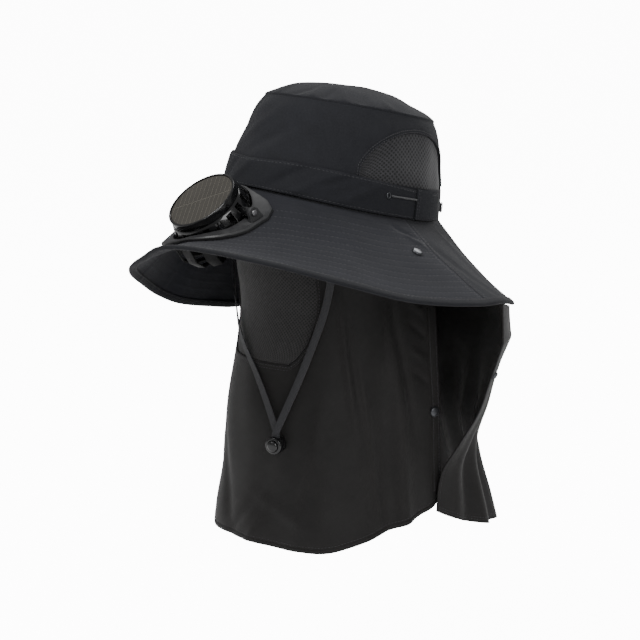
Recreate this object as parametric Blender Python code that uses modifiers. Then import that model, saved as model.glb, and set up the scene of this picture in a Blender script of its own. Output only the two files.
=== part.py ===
"""Solar fan hat: a wide-brimmed cloth sun hat with a solar fan set in its front brim, a chin strap,
a face veil with a net window and a neck cape.

Metres, +Z up. The front of the hat is -Y and the wearer's left is +X. The origin is the middle of
the head opening, where the hat sits on a head. Azimuths are degrees round the hat from the front,
growing towards the wearer's left.
"""
from bisect import bisect_right
from collections import namedtuple
from math import atan2, cos, degrees, pi, radians, sin, sqrt

import bmesh
import bpy
from mathutils import Matrix, Vector
from mathutils.bvhtree import BVHTree

# Driving sizes
GAP = 0.0003
HAT_PITCH = 12
HEAD_HALF_WIDTH = 0.0885
HEAD_HALF_LENGTH = 0.1055
CROWN_HEIGHT = 0.083
CROWN_SLANT = 0.003
SIDE_DIP = 0.0062
TOP_RISE = 0.021
CROWN_CLOTH = 0.0016
BAND_HEIGHT = 0.031
BAND_LOW = 0.0008
BAND_THICKNESS = 0.0030
BAND_END_AZIMUTH = 122
KEEPER_AZIMUTH = 99
KEEPER_END_AZIMUTH = 113
KEEPER_THICKNESS = 0.0014
BRIM_WIDTH = 0.1195
BRIM_CLOTH = 0.0022
REAR_BRIM_CLOTH = 0.0016
BRIM_SEAM_AZIMUTH = 95
BINDING_WIDTH = 0.0052
BINDING_THICKNESS = 0.0036
VENT_AZIMUTH = 104.5
VENT_HALF_ANGLE = 39.5
VENT_HEIGHT = 0.044
VENT_START = 0.845
NET_THICKNESS = 0.0010
NET_THREAD_SHARE = 0.17
VENT_CELLS = (8, 2)
WINDOW_CELLS = (6, 4)
CORD_RADIUS = 0.0008
CORD_HEIGHT = 0.0165
EYELET_AZIMUTH = 81
EYELET_RADIUS = 0.0026
EYELET_WIRE = 0.0006
RING_AZIMUTH = 144
RING_HEIGHT = 0.0105
RING_RADIUS = 0.0040
RING_WIRE = 0.0012
REAR_CORD_RADIUS = 0.0011

# Fan unit
FAN_AHEAD = 0.0270
HEAD_FORWARD = HEAD_HALF_LENGTH + FAN_AHEAD
HEAD_DROP = 0.0055
HEAD_LEAN = 38
PLATE_LEAN = 30
PLATE_REACH = 0.058
PLATE_THICKNESS = 0.0022
PLATE_BEAD = 0.0012
PLATE_GAP = 0.0006
HOLE_FORWARD = 0.0016
HOLE_RADIUS = 0.0388
PLATE_HOLE_RADIUS = 0.0381
PIVOT_BACK = 0.0100
PIVOT_HEIGHT = 0.0070
CAGE_RADIUS = 0.0358
CAGE_WALL = 0.0015
CAGE_RIBS = 18
DISC_RADIUS = 0.0325
RIM_LOW = 0.0160
RIM_TOP = 0.0250
RIM_WALL = 0.0020
CELL_THICKNESS = 0.0012
CELL_SINK = 0.0005
MOTOR_RADIUS = 0.0100
MOTOR_HEIGHT = 0.0070
IMPELLER_RADIUS = 0.0295
IMPELLER_HUB = 0.0115
IMPELLER_HEIGHT = 0.0080
BLADE_COUNT = 5
BLADE_THICKNESS = 0.0012
GRILLE_RADIUS = 0.0402
GRILLE_DEPTH = 0.0270
GRILLE_RIBS = 12
GRILLE_WALL = 0.0014
EAR_PLACE = 0.0478
EAR_THICKNESS = 0.0034
EAR_WIDTH = 0.0130
PIN_RADIUS = 0.0016
BOSS_RADIUS = 0.0040

# Soft hangings
VEIL_CLOTH = 0.0012
CAPE_CLOTH = 0.0012
VEIL_DROP = 0.310
VEIL_HALF_WIDTH = 0.1045
VEIL_FRONT = 0.1000
VEIL_REAR_HALF_WIDTH = 0.1010
VEIL_FOLD_DEPTH = 0.0050
VEIL_FOLD_RUN = 0.100
CAPE_DROP = 0.310
CAPE_HALF_WIDTH = 0.175
CAPE_REAR = 0.158
STRAP_SLACK = 0.0040
VEIL_CENTRE = 0.010
VEIL_REAR = 0.044
WINDOW_TOP = -0.036
WINDOW_BOTTOM = -0.136
STRAP_WIDTH = 0.0066
STRAP_THICKNESS = 0.0012
STRAP_CLEARANCE = 0.0020
STRAP_SLOT = 0.0046
TOGGLE_AZIMUTH = 23
TOGGLE_HEIGHT = -0.2040
TOGGLE_RADIUS = 0.0080
TOGGLE_DEPTH = 0.0110
BUTTON_RADIUS = 0.0050
BUTTON_TRAVEL = 0.0015
SNAP_RADIUS = 0.0046
SNAP_HEIGHT = 0.0016

CrownSection = namedtuple("CrownSection", "height size")
CROWN_SECTIONS = (
    CrownSection(0.00, 1.000),
    CrownSection(0.37, 0.965),
    CrownSection(0.55, 0.925),
    CrownSection(0.76, 0.880),
    CrownSection(0.90, 0.840),
    CrownSection(1.00, 0.790),
)
TopSection = namedtuple("TopSection", "size rise")
TOP_SECTIONS = (
    TopSection(0.790, 0.00),
    TopSection(0.7895, 0.09),
    TopSection(0.670, 0.40),
    TopSection(0.500, 0.71),
    TopSection(0.270, 0.93),
)
BandSection = namedtuple("BandSection", "azimuth height")
BAND_SECTIONS = (
    BandSection(-130, 0.98),
    BandSection(-70, 1.04),
    BandSection(-35, 0.95),
    BandSection(0, 0.82),
    BandSection(35, 0.90),
    BandSection(70, 0.88),
    BandSection(95, 0.80),
    BandSection(115, 0.75),
    BandSection(130, 0.75),
)
# width is a share of BRIM_WIDTH, droops are degrees below the head opening's plane
BrimSection = namedtuple("BrimSection", "azimuth width root_droop edge_droop")
BRIM_SECTIONS = (
    BrimSection(-180, 0.80, 54, 44),
    BrimSection(-150, 0.86, 56, 46),
    BrimSection(-120, 0.95, 64, 54),
    BrimSection(-95, 1.00, 76, 66),
    BrimSection(-78, 1.00, 80, 68),
    BrimSection(-58, 1.00, 78, 66),
    BrimSection(-46, 0.98, 66, 66),
    BrimSection(-30, 0.94, 57, 59),
    BrimSection(-15, 0.95, 56, 40),
    BrimSection(0, 0.98, 58, 18),
    BrimSection(9, 1.00, 58, 3),
    BrimSection(20, 1.00, 54, 1),
    BrimSection(38, 1.00, 41, 12),
    BrimSection(56, 1.00, 35, 22),
    BrimSection(72, 1.00, 37, 24),
    BrimSection(92, 1.00, 34, 22),
    BrimSection(104, 0.95, 33, 22),
    BrimSection(130, 0.80, 42, 34),
    BrimSection(155, 0.78, 50, 42),
    BrimSection(180, 0.80, 54, 44),
)
PlateSection = namedtuple("PlateSection", "angle reach")
PLATE_SECTIONS = (
    PlateSection(0, 0.750),
    PlateSection(25, 0.800),
    PlateSection(50, 0.930),
    PlateSection(75, 0.980),
    PlateSection(95, 0.950),
    PlateSection(115, 1.000),
    PlateSection(130, 0.900),
    PlateSection(150, 0.720),
    PlateSection(180, 0.674),
)
TurnSection = namedtuple("TurnSection", "radius height")
CAGE_SECTIONS = (
    TurnSection(0.895, 1.075),
    TurnSection(0.930, 0.955),
    TurnSection(1.000, 0.450),
    TurnSection(0.950, -0.030),
    TurnSection(0.915, -0.250),
)
GRILLE_SECTIONS = (
    TurnSection(1.000, 0.00),
    TurnSection(0.995, 0.10),
    TurnSection(0.975, 0.60),
    TurnSection(0.840, 0.86),
    TurnSection(0.460, 1.00),
)
# The veil in plan down its height: across, to the front and across its rear edges, as shares of
# VEIL_DROP, VEIL_HALF_WIDTH, VEIL_FRONT and VEIL_REAR_HALF_WIDTH
VeilSection = namedtuple("VeilSection", "height half_width front rear_half_width")
VEIL_SECTIONS = (
    VeilSection(-1.0000, 1.0000, 1.0000, 1.0000),
    VeilSection(-0.9323, 0.9856, 0.9900, 1.0000),
    VeilSection(-0.8097, 0.9282, 0.9300, 0.9901),
    VeilSection(-0.5903, 0.8804, 0.8800, 0.9604),
    VeilSection(-0.4516, 0.8134, 0.8050, 0.9307),
    VeilSection(-0.3097, 0.7656, 0.7600, 0.8911),
    VeilSection(-0.1613, 0.7943, 0.8000, 0.8416),
)
VeilEdge = namedtuple("VeilEdge", "azimuth top hem")
VEIL_EDGES = (
    VeilEdge(0, -0.0839, -0.9645),
    VeilEdge(30, -0.0710, -0.9677),
    VeilEdge(50, -0.0387, -0.9645),
    VeilEdge(70, 0.0000, -0.9419),
    VeilEdge(90, 0.0000, -0.9194),
    VeilEdge(112, -0.0129, -0.9000),
    VeilEdge(128, -0.0452, -0.8871),
    VeilEdge(135, -0.0645, -0.8581),
)
VeilFold = namedtuple("VeilFold", "azimuth width depth start")
VEIL_FOLDS = (
    VeilFold(-62, 16, 1.0000, -0.4516),
    VeilFold(-24, 12, 0.7000, -0.5484),
    VeilFold(20, 14, -0.6000, -0.6129),
    VeilFold(48, 12, 0.8000, -0.4839),
    VeilFold(84, 9, -0.9000, -0.2903),
    VeilFold(98, 8, 0.9000, -0.2903),
    VeilFold(-90, 10, -0.8000, -0.2903),
)
WindowSection = namedtuple("WindowSection", "share half_angle")
WINDOW_SECTIONS = (
    WindowSection(0.00, 37),
    WindowSection(0.08, 42),
    WindowSection(0.45, 44),
    WindowSection(0.75, 39),
    WindowSection(0.93, 31),
    WindowSection(1.00, 25),
)
# The cape in plan down its height: its front edges, its rear, its flare and how its corners pinch in.
# Heights are shares of CAPE_DROP, widths of CAPE_HALF_WIDTH and the rest of CAPE_REAR
CapeSection = namedtuple("CapeSection", "height half_width edge rear flare pinch")
CAPE_SECTIONS = (
    CapeSection(-1.0000, 0.6057, 0.2152, 1.0000, 0.1203, 1),
    CapeSection(-0.9194, 0.6000, 0.2278, 0.9557, 0.0949, 1),
    CapeSection(-0.7839, 0.6057, 0.2468, 0.8734, 0.0506, 1),
    CapeSection(-0.6935, 0.6686, 0.3165, 0.8291, 0.0000, 1.05),
    CapeSection(-0.5968, 0.7543, 0.3671, 0.8228, 0.0000, 1.15),
    CapeSection(-0.4677, 0.8857, 0.3165, 0.8608, 0.0000, 1.3),
    CapeSection(-0.3548, 1.0000, 0.2848, 0.9367, 0.0000, 1.35),
)
CAPE_ROWS = (0.12, 0.26, 0.40, 0.54, 0.68, 0.84, 1.0)
CAPE_TOP_AZIMUTH = 104
CAPE_HEM_SIDE = -0.279
CAPE_HEM_REAR = -0.312
CAPE_FOLD_DEPTH = 0.0040
CAPE_FOLD_START = 0.120
CAPE_FOLD_RUN = 0.120
CAPE_FOLDS = 9
CAPE_SNAP_SHARE = 0.30
# The strap's way down the veil: azimuth round the veil, height as a share of the lock's depth, and
# its distance out from the veil as a share of STRAP_SLACK
StrapPlace = namedtuple("StrapPlace", "azimuth height out")
STRAP_PLACES = (
    StrapPlace(53, -0.0588, 0.2000),
    StrapPlace(54, -0.1667, 1.0000),
    StrapPlace(52, -0.3039, 0.7500),
    StrapPlace(48, -0.4314, 0.5000),
    StrapPlace(42, -0.5539, 0.3000),
    StrapPlace(34, -0.7108, 0.1500),
    StrapPlace(27, -0.8529, 0.3000),
    StrapPlace(23, -0.9461, 1.0000),
)
FAR_STRAP_PLACES = (
    StrapPlace(-53, -0.0588, 0.3000),
    StrapPlace(-54, -0.1667, 1.0000),
    StrapPlace(-50, -0.3039, 0.7500),
    StrapPlace(-38, -0.4510, 0.4500),
    StrapPlace(-16, -0.5882, 0.2500),
    StrapPlace(4, -0.7255, 0.1000),
    StrapPlace(16, -0.8529, 0.2500),
    StrapPlace(22.5, -0.9461, 0.9500),
)
STRAP_ANCHOR_AZIMUTH = 50
STRAP_ANCHOR_HEIGHT = 0.006

COLUMNS = 30


def clear_scene():
    for old in list(bpy.data.objects):
        bpy.data.objects.remove(old, do_unlink=True)


clear_scene()
HAT = bpy.data.collections.new("solar_fan_hat")
CUTTERS = bpy.data.collections.new("cutters")
bpy.context.scene.collection.children.link(HAT)
bpy.context.scene.collection.children.link(CUTTERS)


def table_value(rows, column, at):
    """A smooth value of one column of a table, whose first column is the place along it."""
    keys = [row[0] for row in rows]
    values = [getattr(row, column) for row in rows]
    i = max(0, min(len(rows) - 2, bisect_right(keys, at) - 1))
    span = keys[i + 1] - keys[i]
    t = max(0.0, min(1.0, (at - keys[i]) / span))

    def slope(k):
        low = max(0, k - 1)
        high = min(len(rows) - 1, k + 1)
        return (values[high] - values[low]) / (keys[high] - keys[low])

    start = slope(i) * span
    end = slope(i + 1) * span
    rise = values[i + 1] - values[i]
    return (values[i] + t * start + t * t * (3 * rise - 2 * start - end)
            + t * t * t * (start + end - 2 * rise))


def smooth_step(t):
    t = max(0.0, min(1.0, t))
    return t * t * (3 - 2 * t)


def material(name, colour, roughness=0.8, metallic=0.0):
    made = bpy.data.materials.new(name)
    made.use_nodes = True
    shader = made.node_tree.nodes["Principled BSDF"]
    shader.inputs["Base Color"].default_value = (*colour, 1.0)
    shader.inputs["Roughness"].default_value = roughness
    shader.inputs["Metallic"].default_value = metallic
    made.diffuse_color = (*colour, 1.0)
    return made


CLOTH = material("black_cloth", (0.030, 0.031, 0.036))
BAND_CLOTH = material("band_cloth", (0.027, 0.028, 0.033))
NET = material("black_net", (0.018, 0.018, 0.020))
VEIL_MATERIAL = material("veil_cloth", (0.024, 0.023, 0.023))
CORD = material("dark_cord", (0.060, 0.060, 0.065))
CHROME = material("chrome", (0.75, 0.75, 0.76), 0.15, 1.0)
GUNMETAL = material("gunmetal", (0.060, 0.062, 0.068), 0.30, 0.8)
GLOSS_PLASTIC = material("gloss_plastic", (0.012, 0.012, 0.013), 0.18)
MATTE_PLASTIC = material("matte_plastic", (0.045, 0.046, 0.048), 0.50)
CELL = material("solar_cell", (0.095, 0.083, 0.062), 0.22)


def finish(name, mesh, look, collection=HAT):
    mesh.validate()
    mesh.update()
    made = bpy.data.objects.new(name, mesh)
    collection.objects.link(made)
    mesh.materials.append(look)
    return made


def mesh_object(name, points, faces, look, collection=HAT):
    mesh = bpy.data.meshes.new(name)
    mesh.from_pydata([tuple(p) for p in points], [], faces)
    return finish(name, mesh, look, collection)


def sheet(name, rows, look, closed=False, flip=False, pole=None):
    """An open surface through rows of points. Unflipped, its normal is along the row crossed with
    the way from row to row."""
    wide = len(rows[0])
    points = [p for row in rows for p in row]
    faces = []
    for r in range(len(rows) - 1):
        for c in range(wide if closed else wide - 1):
            d = (c + 1) % wide
            faces.append((r * wide + c, r * wide + d, (r + 1) * wide + d, (r + 1) * wide + c))
    if pole is not None:
        points.append(pole)
        last = (len(rows) - 1) * wide
        faces += [(last + c, last + (c + 1) % wide, len(points) - 1) for c in range(wide)]
    if flip:
        faces = [tuple(reversed(face)) for face in faces]
    return mesh_object(name, points, faces, look)


def solidify(piece, thickness, offset=-1):
    shell = piece.modifiers.new("wall", "SOLIDIFY")
    shell.thickness = thickness
    shell.offset = offset
    shell.use_even_offset = True
    shell.use_quality_normals = True
    return piece


def bar(name, rings, look, closed=False, collection=HAT):
    """A loft through closed rings of points, with flat caps where its way is open."""
    wide = len(rings[0])
    points = [p for ring in rings for p in ring]
    faces = []
    count = len(rings)
    for r in range(count if closed else count - 1):
        s = (r + 1) % count
        for c in range(wide):
            d = (c + 1) % wide
            faces.append((r * wide + c, r * wide + d, s * wide + d, s * wide + c))
    if not closed:
        faces.append(tuple(reversed(range(wide))))
        faces.append(tuple((count - 1) * wide + c for c in range(wide)))
    made = mesh_object(name, points, faces, look, collection)
    work = bmesh.new()
    work.from_mesh(made.data)
    bmesh.ops.recalc_face_normals(work, faces=work.faces)
    work.to_mesh(made.data)
    work.free()
    return made


def boolean(piece, cutter, operation="DIFFERENCE"):
    cut = piece.modifiers.new(operation.lower(), "BOOLEAN")
    cut.operation = operation
    cut.object = cutter
    cutter.hide_render = True
    cutter.display_type = "WIRE"


def spread(low, high, count):
    return [low + (high - low) * i / (count - 1) for i in range(count)]


def cylinder(name, radius, low, high, place, look, collection=HAT, sides=20, bevel=0.0):
    """A cylinder along its frame's Z from low to high, rounded where a bevel is given."""
    work = bmesh.new()
    bmesh.ops.create_cone(work, cap_ends=True, segments=sides, radius1=radius, radius2=radius,
                          depth=high - low)
    bmesh.ops.translate(work, verts=work.verts, vec=(0, 0, (high + low) / 2))
    if bevel:
        top = [e for e in work.edges if all(v.co.z > high - 1e-6 for v in e.verts)]
        bmesh.ops.bevel(work, geom=top, offset=bevel, segments=2, affect="EDGES", profile=0.5)
    bmesh.ops.transform(work, matrix=place, verts=work.verts)
    mesh = bpy.data.meshes.new(name)
    work.to_mesh(mesh)
    work.free()
    return finish(name, mesh, look, collection)


# The hat's own frame, pitched back on the head
PITCHED = Matrix.Rotation(-radians(HAT_PITCH), 3, "X")


def opening_point(azimuth, size=1.0, out=0.0):
    """A point of the head opening's outline in the hat's frame, moved out along its normal."""
    a = radians(azimuth)
    x = HEAD_HALF_WIDTH * size * sin(a)
    y = -HEAD_HALF_LENGTH * size * cos(a)
    normal = Vector((HEAD_HALF_LENGTH * sin(a), -HEAD_HALF_WIDTH * cos(a), 0)).normalized()
    return Vector((x, y, 0)) + normal * out


def side_dip(azimuth):
    """How much lower the soft crown's edge hangs on the wearer's left."""
    return SIDE_DIP * max(0.0, sin(radians(azimuth))) ** 2


def crown_point(azimuth, height, out=0.0):
    share = height / CROWN_HEIGHT
    place = opening_point(azimuth, table_value(CROWN_SECTIONS, "size", share), out)
    place.y += CROWN_SLANT * share
    place.z = height - side_dip(azimuth) * (1 - share)
    return PITCHED @ place


def make_crown_wall():
    rows = [[crown_point(360 * c / COLUMNS, CROWN_HEIGHT * share) for c in range(COLUMNS)]
            for share in (0.0, 0.37, 0.66, 0.9, 1.0)]
    wall = solidify(sheet("crown_wall", rows, CLOTH, closed=True), CROWN_CLOTH)
    for side in (1, -1):
        boolean(wall, vent_cutter(side))


def make_crown_top():
    rows = []
    for section in TOP_SECTIONS:
        ring = []
        for c in range(COLUMNS):
            place = opening_point(360 * c / COLUMNS, section.size)
            place.y += CROWN_SLANT
            place.z = CROWN_HEIGHT + 2 * GAP + TOP_RISE * section.rise
            ring.append(PITCHED @ place)
        rows.append(ring)
    pole = PITCHED @ Vector((0, CROWN_SLANT, CROWN_HEIGHT + 2 * GAP + TOP_RISE))
    solidify(sheet("crown_top", rows, CLOTH, closed=True, pole=pole), CROWN_CLOTH)


def vent_low():
    return BAND_HEIGHT * VENT_START


def vent_outline(inset):
    """Azimuth and height round the arched vent, drawn in by a small distance."""
    girth = radians(1) * (HEAD_HALF_WIDTH + HEAD_HALF_LENGTH) / 2
    half = VENT_HALF_ANGLE - inset / girth
    low = vent_low() + inset
    tall = VENT_HEIGHT - 2 * inset
    return half, low, tall


def vent_place(u, v, inset):
    half, low, tall = vent_outline(inset)
    arch = sqrt(max(0.0, 1 - (0.97 * u) ** 2))
    return VENT_AZIMUTH + half * u, low + tall * arch * v


def curved_cutter(name, place, cells_across, cells_up, depth):
    """A closed cutter both of whose faces follow a curved wall. place gives a point of it."""
    across = cells_across + 1
    up = cells_up + 1
    us = spread(-1, 1, across)
    vs = spread(0, 1, up)
    points = [place(u, v, out) for out in (-depth, depth) for v in vs for u in us]
    face = across * up
    faces = []
    for j in range(up - 1):
        for i in range(across - 1):
            a = j * across + i
            b = a + across
            faces.append((a, a + 1, b + 1, b))
            faces.append((face + a, face + b, face + b + 1, face + a + 1))
    rim = [i for i in range(across)]
    rim += [across - 1 + across * j for j in range(1, up)]
    rim += [(up - 1) * across + i for i in range(across - 2, -1, -1)]
    rim += [across * j for j in range(up - 2, 0, -1)]
    for k, a in enumerate(rim):
        b = rim[(k + 1) % len(rim)]
        faces.append((a, b, face + b, face + a))
    made = mesh_object(name, points, faces, CLOTH, CUTTERS)
    work = bmesh.new()
    work.from_mesh(made.data)
    bmesh.ops.recalc_face_normals(work, faces=work.faces)
    work.to_mesh(made.data)
    work.free()
    return made


def vent_cutter(side):
    def place(u, v, out):
        azimuth, height = vent_place(u, v, 0)
        return crown_point(side * azimuth, height, out)
    return curved_cutter("vent_cutter_%s" % name_of(side), place, *VENT_CELLS, 3 * CROWN_CLOTH)


def name_of(side):
    return "left" if side > 0 else "right"


def lattice(name, place, across, up, look, thickness):
    """A coarse diamond net on an even grid: each diamond or edge cell is drawn in and cut out."""
    work = bmesh.new()
    corner = {}
    for i in range(across + 1):
        for j in range(up + 1):
            if (i + j) % 2 == 0 or i in (0, across) or j in (0, up):
                corner[i, j] = work.verts.new(place(2 * i / across - 1, j / up))
    for i in range(across + 1):
        for j in range(up + 1):
            if (i + j) % 2:
                near = [(i - 1, j), (i, j - 1), (i + 1, j), (i, j + 1)]
                work.faces.new([corner[k if k in corner else (i, j)] for k in near])
    bmesh.ops.recalc_face_normals(work, faces=work.faces)
    cells = list(work.faces)
    size = sum(sqrt(f.calc_area()) for f in cells) / len(cells)
    bmesh.ops.inset_individual(work, faces=cells, thickness=size * NET_THREAD_SHARE)
    bmesh.ops.delete(work, geom=cells, context="FACES")
    mesh = bpy.data.meshes.new(name)
    work.to_mesh(mesh)
    work.free()
    return solidify(finish(name, mesh, look), thickness, 0)


def make_mesh_vents():
    middle = -CROWN_CLOTH / 2

    for side in (1, -1):
        def place(u, v):
            azimuth, height = vent_place(u, v, 2 * GAP)
            return crown_point(side * azimuth, height, middle)
        lattice("mesh_vent_%s" % name_of(side), place, *VENT_CELLS, NET, NET_THICKNESS)


def band_top(azimuth):
    return BAND_HEIGHT * table_value(BAND_SECTIONS, "height", azimuth)


def band_ring(azimuth):
    """The band's folded cross-section: fuller at its lower edge, thin at its upper edge."""
    top = band_top(azimuth)
    tall = top - BAND_LOW
    outer = ((0.00, 0.80), (0.12, 1.0), (0.80, 0.90), (1.0, 0.62))
    ring = [crown_point(azimuth, BAND_LOW + tall * share, GAP + BAND_THICKNESS * out)
            for share, out in outer]
    ring += [crown_point(azimuth, BAND_LOW + tall * share, GAP) for share in (1.0, 0.0)]
    return ring


def make_hat_band():
    ends = BAND_END_AZIMUTH
    bar("hat_band", [band_ring(a) for a in spread(-ends, ends, 31)], BAND_CLOTH)
    for side in (1, -1):
        rings = []
        for azimuth in spread(KEEPER_AZIMUTH, KEEPER_END_AZIMUTH, 5):
            inner = GAP + BAND_THICKNESS + GAP
            low = BAND_LOW - GAP
            top = band_top(azimuth) + 4 * GAP
            ring = [crown_point(side * azimuth, height, out) for height, out in (
                (low, inner), (low, inner + KEEPER_THICKNESS),
                (top, inner + KEEPER_THICKNESS), (top, inner))]
            rings.append(ring)
        bar("band_keeper_%s" % name_of(side), rings, BAND_CLOTH)


def facing(origin, normal, up):
    """A frame at origin whose Z is normal and whose Y leans to up."""
    z = normal.normalized()
    x = up.cross(z).normalized()
    y = z.cross(x)
    frame = Matrix((x, y, z)).transposed().to_4x4()
    frame.translation = origin
    return frame


def crown_frame(azimuth, height, out):
    origin = crown_point(azimuth, height, out)
    step = 0.5
    along = crown_point(azimuth + step, height, out) - origin
    up = crown_point(azimuth, height + 0.001, out) - origin
    return facing(origin, along.cross(up), up)


def ring_piece(name, frame, radius, wire, look, squash=1.0):
    work = bmesh.new()
    around, across = 12, 4
    verts = []
    for i in range(around):
        a = 2 * pi * i / around
        row = []
        for j in range(across):
            b = 2 * pi * j / across
            r = radius + wire * cos(b)
            row.append(work.verts.new((r * cos(a) * squash, r * sin(a), wire * sin(b))))
        verts.append(row)
    for i in range(around):
        for j in range(across):
            k = (i + 1) % around
            m = (j + 1) % across
            work.faces.new((verts[i][j], verts[k][j], verts[k][m], verts[i][m]))
    bmesh.ops.transform(work, matrix=frame, verts=work.verts)
    mesh = bpy.data.meshes.new(name)
    work.to_mesh(mesh)
    work.free()
    return finish(name, mesh, look)


def cord_tube(name, points, radius, look):
    """A round cord along its points, with flat filled ends."""
    curve = bpy.data.curves.new(name, "CURVE")
    curve.dimensions = "3D"
    curve.bevel_depth = radius
    curve.bevel_resolution = 2
    curve.use_fill_caps = True
    spline = curve.splines.new("POLY")
    spline.points.add(len(points) - 1)
    for point, place in zip(spline.points, points):
        point.co = (*place, 1.0)
    made = bpy.data.objects.new(name, curve)
    HAT.objects.link(made)
    curve.materials.append(look)
    return made


def turn_for(length, azimuth):
    """The degrees round the head opening that a length spans at an azimuth."""
    a = radians(azimuth)
    radius = sqrt((HEAD_HALF_WIDTH * cos(a)) ** 2 + (HEAD_HALF_LENGTH * sin(a)) ** 2)
    return degrees(length / radius)


def side_cord_points(side):
    """From beside the small eyelet along the band to its keeper."""
    start = EYELET_AZIMUTH + turn_for(EYELET_RADIUS * 0.72 + EYELET_WIRE + GAP, EYELET_AZIMUTH)
    end = KEEPER_AZIMUTH - turn_for(2 * GAP, KEEPER_AZIMUTH)
    lift = (GAP + BAND_THICKNESS) * 0.94 + CORD_RADIUS + 3 * GAP
    return [crown_point(side * azimuth, CORD_HEIGHT, lift) for azimuth in spread(start, end, 9)]


def rear_cord_points():
    """From one rear ring round the back of the crown to the other."""
    start = RING_AZIMUTH + turn_for(RING_RADIUS + RING_WIRE + GAP, RING_AZIMUTH)
    lift = 4 * GAP + REAR_CORD_RADIUS
    return [crown_point(azimuth, RING_HEIGHT, lift) for azimuth in spread(start, 360 - start, 18)]


def make_cords_and_eyelets():
    for side in (1, -1):
        seat = GAP + BAND_THICKNESS * 0.94 + EYELET_WIRE + GAP
        frame = crown_frame(side * EYELET_AZIMUTH, CORD_HEIGHT, seat)
        ring_piece("side_eyelet_%s" % name_of(side), frame, EYELET_RADIUS, EYELET_WIRE, GUNMETAL, 0.72)
        cord_tube("side_cord_%s" % name_of(side), side_cord_points(side), CORD_RADIUS, CORD)
        frame = crown_frame(side * RING_AZIMUTH, RING_HEIGHT, RING_WIRE + GAP)
        ring_piece("rear_ring_%s" % name_of(side), frame, RING_RADIUS, RING_WIRE, CHROME)
    cord_tube("rear_cord", rear_cord_points(), REAR_CORD_RADIUS, CORD)


# The brim
def brim_point(azimuth, share, lift=0.0):
    """A point on the brim's upper face, in the world. Its droop changes from its root to its edge."""
    width = BRIM_WIDTH * table_value(BRIM_SECTIONS, "width", azimuth)
    root = radians(table_value(BRIM_SECTIONS, "root_droop", azimuth))
    edge = radians(table_value(BRIM_SECTIONS, "edge_droop", azimuth))
    turn = edge - root
    if abs(turn) < 0.01:
        turn = 0.01
    droop = root + turn * share
    out = width * (sin(droop) - sin(root)) / turn
    down = width * (cos(root) - cos(droop)) / turn
    place = opening_point(azimuth, 1.0, out + lift * sin(droop))
    place.z = -GAP - side_dip(azimuth) - down + lift * cos(droop)
    return PITCHED @ place


BRIM_SHARES = (0.14, 0.30, 0.47, 0.72, 1.0)
FRONT_COLUMNS = 29
REAR_COLUMNS = 15


def brim_rows(azimuths):
    def seat(azimuth, out):
        level = Vector((0, 0, GAP + side_dip(azimuth)))
        return PITCHED @ (opening_point(azimuth, 1.0, out) - level)

    rows = [[seat(a, -CROWN_CLOTH) for a in azimuths], [seat(a, 0.0) for a in azimuths]]
    return rows + [[brim_point(a, share) for a in azimuths] for share in BRIM_SHARES]


def front_azimuths():
    return spread(-BRIM_SEAM_AZIMUTH, BRIM_SEAM_AZIMUTH, FRONT_COLUMNS)


def rear_azimuths():
    step = degrees(GAP / HEAD_HALF_WIDTH)
    round_back = spread(BRIM_SEAM_AZIMUTH + step, 360 - BRIM_SEAM_AZIMUTH - step, REAR_COLUMNS)
    return [a if a <= 180 else a - 360 for a in round_back]


def make_brim():
    front = solidify(sheet("brim_front", brim_rows(front_azimuths()), CLOTH, flip=True), BRIM_CLOTH)
    place = PLATE_FRAME @ Matrix.Translation((0, -HOLE_FORWARD, 0))
    hole = cylinder("fan_hole_cutter", HOLE_RADIUS, -0.03, 0.03, place, CLOTH, CUTTERS, 32)
    boolean(front, hole)
    rear = sheet("brim_rear", brim_rows(rear_azimuths()), CLOTH, flip=True)
    solidify(rear, REAR_BRIM_CLOTH)


def edge_frame(azimuth):
    """Place, way out and way up at the middle of the brim's edge."""
    place = brim_point(azimuth, 1.0, -BRIM_CLOTH / 2)
    out = (brim_point(azimuth, 1.0) - brim_point(azimuth, 0.96)).normalized()
    along = brim_point(azimuth + 1, 1.0) - brim_point(azimuth - 1, 1.0)
    up = out.cross(along).normalized()
    return place, out, up


def binding_centre(azimuth):
    place, out, up = edge_frame(azimuth)
    return place + out * (GAP + BINDING_WIDTH / 2)


def make_brim_binding():
    rings = []
    for azimuth in front_azimuths() + rear_azimuths()[1:-1]:
        place, out, up = edge_frame(azimuth)
        middle = binding_centre(azimuth)
        ring = []
        for k in range(5):
            a = pi + 2 * pi * k / 5
            ring.append(middle + out * (BINDING_WIDTH / 2 * cos(a))
                        + up * (BINDING_THICKNESS / 2 * sin(a)))
        rings.append(ring)
    bar("brim_binding", rings, BAND_CLOTH, closed=True)


def brim_frame(azimuth, share, lift):
    origin = brim_point(azimuth, share, lift)
    along = brim_point(azimuth + 1, share, lift) - origin
    out = brim_point(azimuth, share + 0.02, lift) - origin
    return facing(origin, out.cross(along), -out)


BRIM_SNAP_AZIMUTH = 86
BRIM_SNAP_SHARE = 0.40


def make_brim_snaps():
    for side in (1, -1):
        frame = brim_frame(side * BRIM_SNAP_AZIMUTH, BRIM_SNAP_SHARE, 2 * GAP)
        cylinder("brim_snap_%s" % name_of(side), SNAP_RADIUS, 0, SNAP_HEIGHT, frame, GUNMETAL,
                 sides=12, bevel=SNAP_HEIGHT * 0.6)


# The fan unit. In the plate's and the head's frames X is across, Y is back to the crown and Z is up
def fan_frame(lean):
    normal = Vector((0, -sin(radians(lean)), cos(radians(lean))))
    return facing(Vector((0, -HEAD_FORWARD, -HEAD_DROP)), normal, Vector((0, 1, 0)))


PLATE_FRAME = fan_frame(PLATE_LEAN)
HEAD_FRAME = fan_frame(HEAD_LEAN)


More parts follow.
